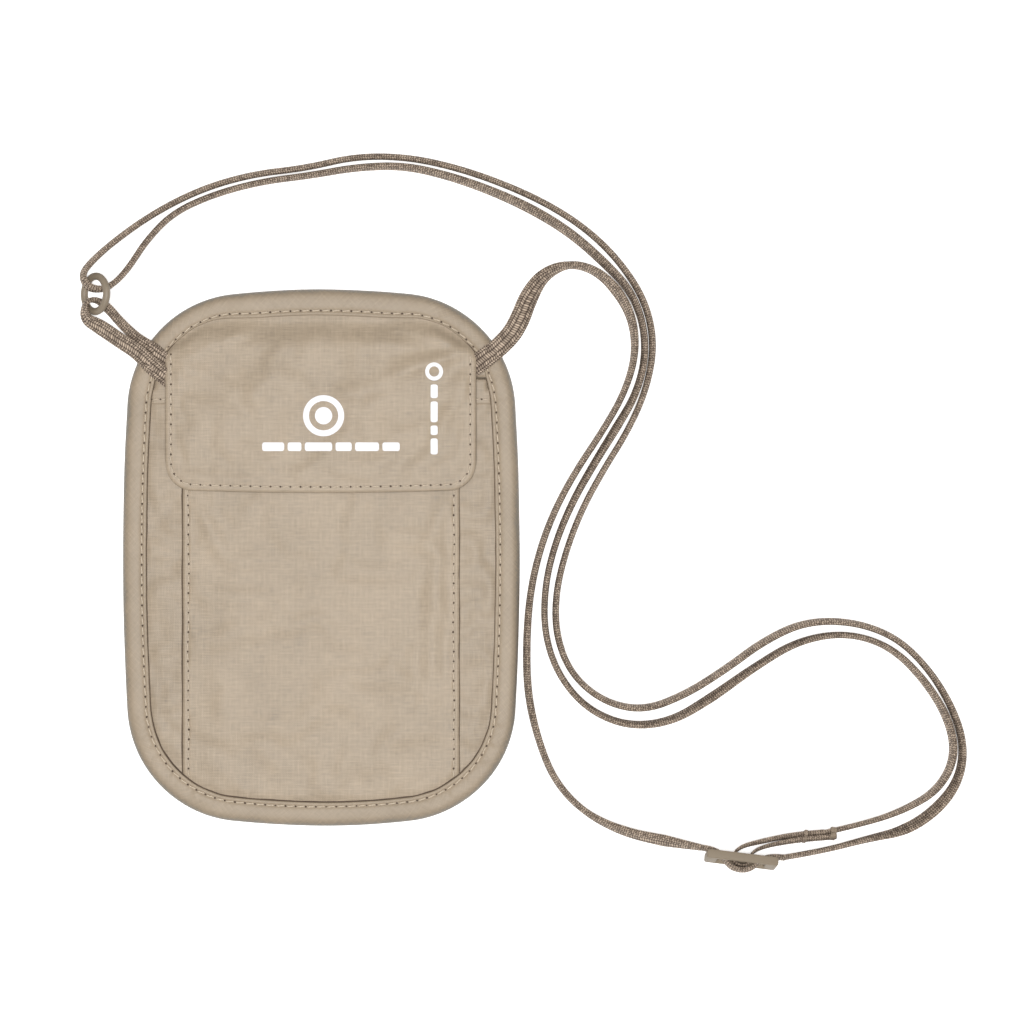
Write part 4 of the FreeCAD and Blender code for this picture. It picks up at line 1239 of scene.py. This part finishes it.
def flap_mesh(inset, top_y, x_step, height):
    """A flap layer: columns across its width, rows from its lower edge up to top_y."""
    half = FLAP_HALF - inset
    across = np.sin(np.linspace(-1, 1, int(2 * half / x_step) + 1) * math.pi / 2 * 0.985)
    blend = np.linspace(-1, 1, len(across))
    across = np.sign(across) * np.abs(across) * 0.5 + blend * 0.5
    x = across / across[-1] * half
    x[0], x[-1] = -half, half
    low = flap_edge(x, inset)
    upper_rows = int((top_y - FLAP_LOW) / 1.5)
    fractions = np.unique(np.concatenate([np.linspace(0, 0.05, 4), np.linspace(0.05, 1, upper_rows)]))
    y = low[None, :] + (top_y - low[None, :]) * fractions[:, None]
    grid_x = np.repeat(x[None, :], len(fractions), 0)
    flat = np.stack([grid_x.ravel(), y.ravel()], 1)
    points = np.column_stack([flat, height(flat)])
    faces = sheet_quads(len(fractions), len(x))
    return points, faces


def flap_edge_distance(flat):
    """Distance in from the flap's free edges."""
    across = np.abs(flat[:, 0])
    side = FLAP_HALF - across
    bow = FLAP_BOW * (np.minimum(across, FLAP_HALF - FLAP_CORNER) / FLAP_HALF) ** 2
    low = flat[:, 1] - (FLAP_LOW + bow)
    radius = FLAP_CORNER
    in_corner = (side < radius) & (low < radius)
    arc = radius - np.sqrt(np.maximum(radius - side, 0) ** 2 + np.maximum(radius - low, 0) ** 2)
    return np.where(in_corner, arc, np.minimum(side, low))


# The flap's creases, most of them drawn from its upper corners
FLAP_CREASES = (
    ((51.5, 70.0), (20.0, 60.0), 2.4, 0.60), ((50.5, 67.0), (26.0, 46.0), 2.6, -0.40),
    ((50.0, 72.0), (22.0, 77.0), 2.2, 0.50), ((51.0, 64.0), (36.0, 34.0), 2.4, 0.36),
    ((46.0, 70.0), (14.0, 68.0), 2.2, -0.36),
    ((-51.5, 70.0), (-14.0, 72.5), 2.8, -0.46), ((-50.0, 66.0), (-22.0, 77.0), 2.4, 0.56),
    ((-50.5, 66.0), (-18.0, 52.0), 3.0, 0.40), ((8.0, 79.0), (44.0, 71.0), 2.8, -0.36),
    ((2.0, 53.0), (30.0, 59.5), 3.6, 0.44), ((14.0, 49.0), (44.0, 52.0), 2.6, -0.34),
    ((-6.0, 80.0), (-38.0, 60.0), 3.2, -0.34), ((-30.0, 30.0), (-4.0, 27.0), 3.4, 0.24),
    ((-10.0, 66.0), (-34.0, 44.0), 4.2, 0.30),
)
CREASE_STRENGTH = 1.45


def make_flap():
    """The flap's outer cloth with its yoke, and the lining."""
    points, faces = flap_mesh(0.0, FLAP_END, 1.5, flap_level)
    keep = (inset_of(points) > 3.4)[faces].all(1)
    points, faces = only_used(points, faces[keep])
    edge = np.where(points[:, 1] > 70.5, 9.0, flap_edge_distance(points))
    free = smooth_step(inset_of(points) - BAND, 0.2, 3.0)
    if SIMULATE:
        pinned = ((points[:, 1] > 76) | (inset_of(points) < BAND + 1.2)
                  | ((edge < 2.6) & (np.abs(points[:, 0]) > 49))).astype(float)
        low_edge = (edge < 2.4) & (pinned < 1)
        pinned = np.where(low_edge, 0.55, pinned)
        swell = settled(points, faces, pinned, 0.020, 0.10, 24, 61.0, 0.50, 0.58)
        change = swell * smooth_step(edge, 1.0, 6.0)
    else:
        change = 0.15 * wobble(points, 12.0, 61.0)
    for start, end, width, rise in FLAP_CREASES:
        change += crease(points, start, end, width, CREASE_STRENGTH * rise) * smooth_step(edge, 0.5, 4.0)
    points[:, 2] += np.where(change < 0, soften(change, SINK_LIMIT), change) * free
    points[:, 2] -= EDGE_ROLL * (1 - smooth_step(edge, 0.0, 0.9))
    points[:, 2] -= SEAM_DIMPLE * np.exp(-((edge - FLAP_SEAM_INSET) / 0.5) ** 2) * (points[:, 1] < 68.5)
    cover = build("flap_cover", points, faces, None, ("ripstop",))
    subdivide(cover)
    apply_modifiers(cover)
    solidify(cover, FLAP_THICK)
    apply_modifiers(cover)
    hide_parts("flap_shell", "flap_yoke")

    lining_points, lining_faces = flap_mesh(LINING_INSET, 69.6, 2.2,
                                            lambda flat: np.minimum(flap_level(flat) - 0.72, 5.28))
    sewn = closure_patch(lining_points, 2.0)
    lining_points[:, 2] += 0.05 * wobble(lining_points, 8.0, 63.0) * (1 - sewn) + 0.14 * sewn
    lining = build("flap_lining_cloth", lining_points, lining_faces, None, ("lining",))
    solidify(lining, LINING_THICK)
    apply_modifiers(lining)
    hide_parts("flap_lining")
    return cover, lining


# ---------------------------------------------------------------- closure, zip and strap ends

PILE_LEVEL = 4.28
HOOK_MARGIN, HOOK_LEAN, HOOK_WIRE = 0.9, 0.22, 0.09
PILE_GRID, STRIP_THICK = 0.42, 0.18
# A hook from its root to its tip: share of its lean, and distance below the strip
HOOK_SHAPE = ((0.0, 0.16), (0.0, 0.32), (0.5, 0.46), (1.6, 0.47), (2.0, 0.37))


def make_closure():
    """Loop pile on the pocket and a field of hooks on the flap."""
    low, high = box_mm("closure_loop_strip")
    rng = np.random.default_rng(7)
    x, y = np.meshgrid(lines(low[0], high[0], PILE_GRID), lines(low[1], high[1], PILE_GRID))
    flat = np.stack([x.ravel(), y.ravel()], 1)
    edge = np.minimum(flat - low[:2], high[:2] - flat).min(1)
    pile = 0.30 + 0.22 * rng.random(len(flat)) + 0.08 * wobble(flat, 2.5, 71.0)
    points = np.column_stack([flat, PILE_LEVEL + pile * smooth_step(edge, 0.0, 1.0)])
    loops = build("closure_loop_pile", points, sheet_quads(*x.shape), None, ("closure",))
    solidify(loops, CLOTH_THICK)
    finish_piece(loops, "pouch", ["closure_loop_strip"])

    low, high = box_mm("closure_hook_strip")
    bundle = Bundle()
    top = high[2] - 0.06
    x, y = np.meshgrid(lines(low[0], high[0], 2.0), lines(low[1], high[1], 2.0))
    faces = sheet_quads(*x.shape)
    for z, turned in ((top, faces), (top - STRIP_THICK, faces[:, ::-1])):
        points = np.column_stack([x.ravel(), y.ravel(), np.full(x.size, z)])
        bundle.add(points, turned.tolist(), np.zeros((faces.size, 2)))
    for hook_x in lines(low[0] + HOOK_MARGIN, high[0] - HOOK_MARGIN, 1.45):
        for row, hook_y in enumerate(lines(low[1] + HOOK_MARGIN, high[1] - HOOK_MARGIN, 1.25)):
            lean = HOOK_LEAN if row % 2 else -HOOK_LEAN
            stem = [(hook_x + lean * share, hook_y, top - drop) for share, drop in HOOK_SHAPE]
            bundle.add(*thread_path(np.array(stem), HOOK_WIRE, 5))
    hooks = bundle.piece("closure_hook_field", ("closure",))
    finish_piece(hooks, "flap", ["closure_hook_strip"])


COIL_PITCH, COIL_PITCH_OFFSET = 1.25, 0.62
COIL_WIRE, COIL_THREAD = 0.19, 0.13
TAPE_THICK = 0.28


def make_zip():
    """Woven tapes, a coil of small loops on each, and metal for the slider, pull and stops."""
    for side, part in ((-1, "lower"), (1, "upper")):
        node = "zip_tape_" + part
        low, high = box_mm(node)
        edge_y = high[1] if side < 0 else low[1]

        def tape_height(flat):
            ridge = 0.05 * np.exp(-((flat[:, 1] - edge_y) / 0.7) ** 2)
            return high[2] - 0.02 + ridge + 0.03 * wobble(flat, 7.0, 81.0)

        tape = grid_sheet(node + "_weave", lines(low[0] + 0.1, high[0] - 0.1, 1.5),
                          lines(low[1] + 0.05, high[1] - 0.05, 0.75), tape_height, "zip_tape", inside(2.0))
        solidify(tape, TAPE_THICK)
        finish_piece(tape, "pouch", [node])
        node = "zip_coil_" + part
        low, high = box_mm(node)
        bundle = Bundle()
        tip, root = (high[1], low[1]) if side < 0 else (low[1], high[1])
        middle_z, half_z = (low[2] + high[2]) / 2, (high[2] - low[2]) / 2 - 0.17
        angle = np.linspace(-0.55 * math.pi, 0.55 * math.pi, 11)
        y = root + (tip - root) * (0.36 + 0.62 * np.cos(angle * 0.9) ** 0.8)
        z = middle_z + half_z * np.sin(angle)
        drift = np.linspace(-0.30, 0.30, 11)
        for x in np.arange(low[0] + 0.6, high[0] - 0.4, COIL_PITCH):
            x = x + (COIL_PITCH_OFFSET if side > 0 else 0.0)
            bundle.add(*thread_path(np.column_stack([x + drift, y, z]), COIL_WIRE, 6))
        row = np.arange(low[0], high[0], 0.6)
        wave = root + (tip - root) * 0.30 + 0.10 * np.sin(row * 2 * math.pi / (2 * COIL_PITCH))
        seam_z = np.full(len(row), middle_z + half_z * 0.7)
        bundle.add(*thread_path(np.column_stack([row, wave, seam_z]), COIL_THREAD, 6))
        coil = bundle.piece(node + "_loops", ("coil",))
        finish_piece(coil, "pouch", [node])
    for node in ("zip_slider", "zip_pull", "zip_end_stops"):
        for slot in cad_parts[node].material_slots:
            slot.material = materials["metal"]


def sewn_end(name, node, tack_node, start, end, first, last, z, columns):
    """A flat strap end that comes out from under the flap, with its bar tack."""
    a, b = np.array(start), np.array(end)
    t = np.linspace(0, 1, 60)
    points = np.column_stack([a[None, :] * (1 - t)[:, None] + b[None, :] * t[:, None],
                              z[0] + (z[1] - z[0]) * smooth_step(t, 0.35, 1.0)])
    way = unit((b - a)[None, :])[0]
    wide = np.repeat(np.array([[-way[1], way[0], 0.0]]), len(t), 0)
    widths = first[0] + (last[0] - first[0]) * t
    depths = first[1] + (last[1] - first[1]) * smooth_step(t, 0.2, 1.0)
    piece = ribbon(name, points, wide, widths, depths, "pouch", columns)
    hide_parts(node)
    bundle = Bundle()
    middle = a * (1 - TACK_SHARE) + b * TACK_SHARE
    for index in range(TACK_STITCHES):
        share = (index / (TACK_STITCHES - 1) - 0.5) * (first[0] - 1.2)
        centre = middle + np.array([-way[1], way[0]]) * share
        s = np.linspace(-1, 1, 7)
        height = z[0] + first[1] / 2 + 0.06 - 0.2 * s ** 4
        line = np.column_stack([centre[None, :] + way[None, :] * (s * 0.62)[:, None], height])
        bundle.add(*thread_path(line, TACK_THREAD, 6, index))
    tack = bundle.piece(name + "_tack", ("tack",))
    finish_piece(tack, "pouch", [tack_node])


# ---------------------------------------------------------------- print

INK_LIFT = 0.035
EMBLEM = (1.0, 47.6)
RULE_X, RULE_Y, RULE_WIDTH, RULE_GAP = -19.6, 37.2, 2.9, 1.15
COLUMN_X, COLUMN_Y, COLUMN_WIDTH, COLUMN_GAP = 38.1, 34.6, 2.4, 1.1
COLUMN_RING = (38.1, 62.4)
BAR_ROUND = 0.7


def decal(bundle, outline_points, tree, fill_rows=6):
    """A flat printed shape between two matching edge lines, laid on a surface."""
    left, right = outline_points
    t = np.linspace(0, 1, fill_rows)
    flat = left[:, None, :] * (1 - t)[None, :, None] + right[:, None, :] * t[None, :, None]
    z, _ = surface([tree], flat.reshape(-1, 2))
    points = np.column_stack([flat.reshape(-1, 2), z + INK_LIFT])
    faces = facing_up(points, sheet_quads(len(left), fill_rows))
    bundle.add(points, faces.tolist(), np.zeros((faces.size, 2)))


def bar_shape(start, end, width, steps=24):
    """Both long edges of a bar with rounded ends."""
    a, b = np.array(start, float), np.array(end, float)
    way = (b - a) / np.linalg.norm(b - a)
    aside = np.array([-way[1], way[0]])
    span = np.linalg.norm(b - a)
    s = np.linspace(0, 1, steps) * span
    end_gap = np.minimum(np.minimum(s, span - s), width / 2)
    corner = np.minimum(end_gap, BAR_ROUND)
    half = width / 2 - BAR_ROUND + np.sqrt(np.maximum(0.49 - (BAR_ROUND - corner) ** 2, 0.0))
    middle = a[None, :] + way[None, :] * s[:, None]
    return middle - aside * half[:, None], middle + aside * half[:, None]


def ring_shape(centre, outer, inner, steps=64):
    angle = np.linspace(0, 2 * math.pi, steps)
    way = np.stack([np.cos(angle), np.sin(angle)], 1)
    return np.array(centre) + way * inner, np.array(centre) + way * outer


def make_print(cover):
    """Plain white marks: a ring round a dot over a row of bars, and a column of bars under a small ring."""
    tree = tree_of(cover)
    bundle = Bundle()
    decal(bundle, ring_shape(EMBLEM, 6.9, 4.9), tree)
    decal(bundle, ring_shape(EMBLEM, 2.9, 0.02), tree)
    start = RULE_X
    for length in (7.4, 4.6, 9.2, 5.4, 8.0, 5.8):
        decal(bundle, bar_shape((start, RULE_Y), (start + length, RULE_Y), RULE_WIDTH, 30), tree)
        start += length + RULE_GAP
    start = COLUMN_Y
    for length in (5.4, 3.2, 7.0, 4.6):
        decal(bundle, bar_shape((COLUMN_X, start), (COLUMN_X, start + length), COLUMN_WIDTH, 24), tree)
        start += length + COLUMN_GAP
    decal(bundle, ring_shape(COLUMN_RING, 3.0, 1.7), tree)
    finish_piece(bundle.piece("flap_print", ("ink",)), "flap")


# ---------------------------------------------------------------- seams

def seam_piece(bundle, name, node, body="pouch"):
    finish_piece(bundle.piece(name, ("thread", "hole")), body, [node])


def make_seams(slip_hem, centre, centre_hem, cover):
    """Stitches of the binding, the centre pocket, both hems and the flap."""
    points, way, _, _ = edge_line(EDGE_POINTS)
    bundle = Bundle()
    for front, trees, options in ((True, [tree_of(binding)], {"seed": 1.0}),
                                  (False, [], {"seed": 2.0, "flip": -1.0, "base": 0.44})):
        seam = binding_surface(points, way, SEAM_INSET, 4.0, front)[:, :2]
        stitch_seam(bundle, np.concatenate([seam, seam[:1]]), trees, **options)
    seam_piece(bundle, "binding_stitching", "binding_seam_thread")

    centre_tree = tree_of(centre)
    bundle = Bundle()
    for side in (-1, 1):
        y = np.linspace(47.0, -82.0, 200)
        x = side * (CENTRE_SEAM + 0.10 * np.sin(y * 0.35) + 0.12 * np.sin(y * 0.11 + side))
        path = np.stack([x, y], 1)
        path = path[inset_of(path) > BAND + 0.4]
        stitch_seam(bundle, path, [centre_tree], pitch=3.2, long=2.15, radius=0.22, seed=3.0 + side)
    seam_piece(bundle, "pocket_stitching", "pocket_seam_threads")

    bundle = Bundle()
    path = np.stack([np.linspace(-57.0, 57.0, 120), np.full(120, 53.2)], 1)
    path = path[inset_of(path) > BAND + 0.2]
    stitch_seam(bundle, path, [tree_of(slip_hem)], pitch=3.0, long=2.0, radius=0.20, seed=6.0)
    path = np.stack([np.linspace(-44.0, 44.0, 90), np.full(90, 42.0)], 1)
    stitch_seam(bundle, path, [tree_of(centre_hem)], pitch=3.2, long=2.0, radius=0.20, seed=7.0)
    seam_piece(bundle, "hem_stitching", "hem_seam_threads")

    half = FLAP_HALF - FLAP_SEAM_INSET
    x = half * np.sin(np.linspace(-1, 1, 260) * math.pi / 2)
    low = np.stack([x, flap_edge(x, FLAP_SEAM_INSET)], 1)
    side_y = np.linspace(68.2, low[0][1], 60)
    path = np.concatenate([np.stack([np.full(60, -half), side_y], 1), low[1:-1],
                           np.stack([np.full(60, half), side_y[::-1]], 1)])
    bundle = Bundle()
    stitch_seam(bundle, path, [tree_of(cover)], pitch=3.3, long=2.2, radius=0.24, seed=8.0)
    seam_piece(bundle, "flap_stitching", "flap_seam_thread", "flap")


def painted_shadow_strip(bundle, path, aside, widths, trees):
    """A narrow dark strip of painted shadow along a seam or an edge, laid on the surfaces below."""
    rows = np.stack([path - aside * 0.25, path, path + aside * widths[:, None]], 1)
    z, _ = surface(trees, rows.reshape(-1, 2))
    points = np.column_stack([rows.reshape(-1, 2), z + 0.03])
    faces = facing_up(points, sheet_quads(len(path), 3))
    bundle.add(points, faces.tolist(), np.zeros((faces.size, 2)))


def make_painted_shadows(slip, slip_hem, centre, centre_hem, cover, upper):
    """Painted shadow: dark strips under the binding's lip, beside the centre pocket's folded sides and along
    the slip pocket's mouth.
    """
    trees = [tree_of(slip), tree_of(slip_hem), tree_of(centre), tree_of(centre_hem), tree_of(cover)]
    points, way, _, _ = edge_line(EDGE_POINTS)
    lip = binding_surface(points, way, 7.70, 3.88, True)[:, :2]
    lip, points, way = (np.concatenate([part, part[:1]]) for part in (lip, points, way))
    # The painted shadow under the lip is widest along the bottom and thinnest along the top.
    low = smooth_step(-points[:, 1], 30.0, 80.0)
    top = smooth_step(points[:, 1], 58.0, 80.0)
    widths = (0.20 + 0.20 * low) * (1 - 0.9 * top) * (1 + 0.35 * wobble(points, 5.0, 91.0)) + 0.02
    bundle = Bundle()
    painted_shadow_strip(bundle, lip, -way, widths, trees)
    # Painted shadow beside the centre pocket's folded sides, wider on the left, and along the slip pocket's
    # mouth.
    for side, width in ((-1, 0.34), (1, 0.16)):
        y = np.linspace(40.0, -80.0, 160)
        path = np.stack([np.full(160, side * 46.55) + 0.08 * np.sin(y * 0.23), y], 1)
        path = path[inset_of(path) > BAND + 0.3]
        painted_shadow_strip(bundle, path, np.array([[side, 0.0]]), np.full(len(path), width), [trees[0]])
        path = np.stack([np.linspace(side * 52.8, side * 58.0, 14), np.full(14, 60.1)], 1)
        path = path[inset_of(path) > BAND - 0.2]
        painted_shadow_strip(bundle, path, np.array([[0.0, 1.0]]), np.full(len(path), 0.30), [trees[1], tree_of(upper)])
    piece = bundle.piece("painted_shadow_strips", ("gap",))
    finish_piece(piece, "pouch")


make_back()
upper, slip, slip_hem = make_front()
centre, centre_hem = make_centre()
make_shields()
cover, lining = make_flap()
make_closure()
make_zip()
sewn_end("strap_end_right_braid", "strap_anchor_right", "bar_tack_right", (48.0, 61.6), (59.4, 70.2),
         (7.0, 0.55), (6.7, 1.9), (4.95, 6.25), 14)
sewn_end("strap_end_left_braid", "strap_anchor_left", "bar_tack_left", (-47.8, 61.0), (-57.2, 67.3),
         (9.0, 0.55), (9.0, 1.6), (4.95, 5.95), 18)
make_print(cover)
make_seams(slip_hem, centre, centre_hem, cover)
make_painted_shadows(slip, slip_hem, centre, centre_hem, cover, upper)
for layer in (cover, lining):
    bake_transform(layer)


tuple(ANCHOR_ROUTE[0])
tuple(LONG_ROUTE[0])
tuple(LOOP_ROUTE[0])


# ---------------------------------------------------------------- studio

def make_studio():
    """A plain white floor under soft light from above and a little from the pouch's lower edge."""
    tree = Tree("studio_floor")
    tone = tree.noise(tree.place(), 4.0, 1.0)
    tree.set("Base Color", tree.ramp(tone, (0.3, (0.93, 0.93, 0.93)), (0.7, (0.95, 0.95, 0.95))))
    tree.set("Roughness", 0.9)
    tree.set("Specular IOR Level", 0.1)
    tree.set("Emission Color", (1.0, 1.0, 1.0, 1.0))
    tree.set("Emission Strength", 0.52)
    mesh = bpy.data.meshes.new("studio_floor")
    half = 3.0
    corners = [(-half, -half, 0), (half, -half, 0), (half, half, 0), (-half, half, 0)]
    mesh.from_pydata(corners, [], [(0, 1, 2, 3)])
    mesh.materials.append(tree.material)
    floor = bpy.data.objects.new("studio_floor", mesh)
    floor.location.z = -0.00025
    scene.collection.objects.link(floor)

    def panel(name, place, target, size, power):
        light = bpy.data.lights.new(name, "AREA")
        light.shape = "DISK"
        light.size = size
        light.energy = power
        lamp = bpy.data.objects.new(name, light)
        lamp.location = place
        lamp.rotation_euler = (Vector(target) - Vector(place)).to_track_quat("-Z", "Y").to_euler()
        scene.collection.objects.link(lamp)

    panel("key_light", (0.03, -0.04, 1.45), (0.05, 0.02, 0.0), 0.45, 17.8)
    panel("front_light", (0.10, -1.05, 0.80), (0.06, 0.02, 0.0), 0.7, 1.2)
    world = bpy.data.worlds.new("studio")
    world.use_nodes = True
    world.node_tree.nodes["Background"].inputs[0].default_value = (1.0, 1.0, 1.0, 1.0)
    world.node_tree.nodes["Background"].inputs[1].default_value = 0.30
    scene.world = world
    scene.view_settings.view_transform = "Standard"


make_studio()
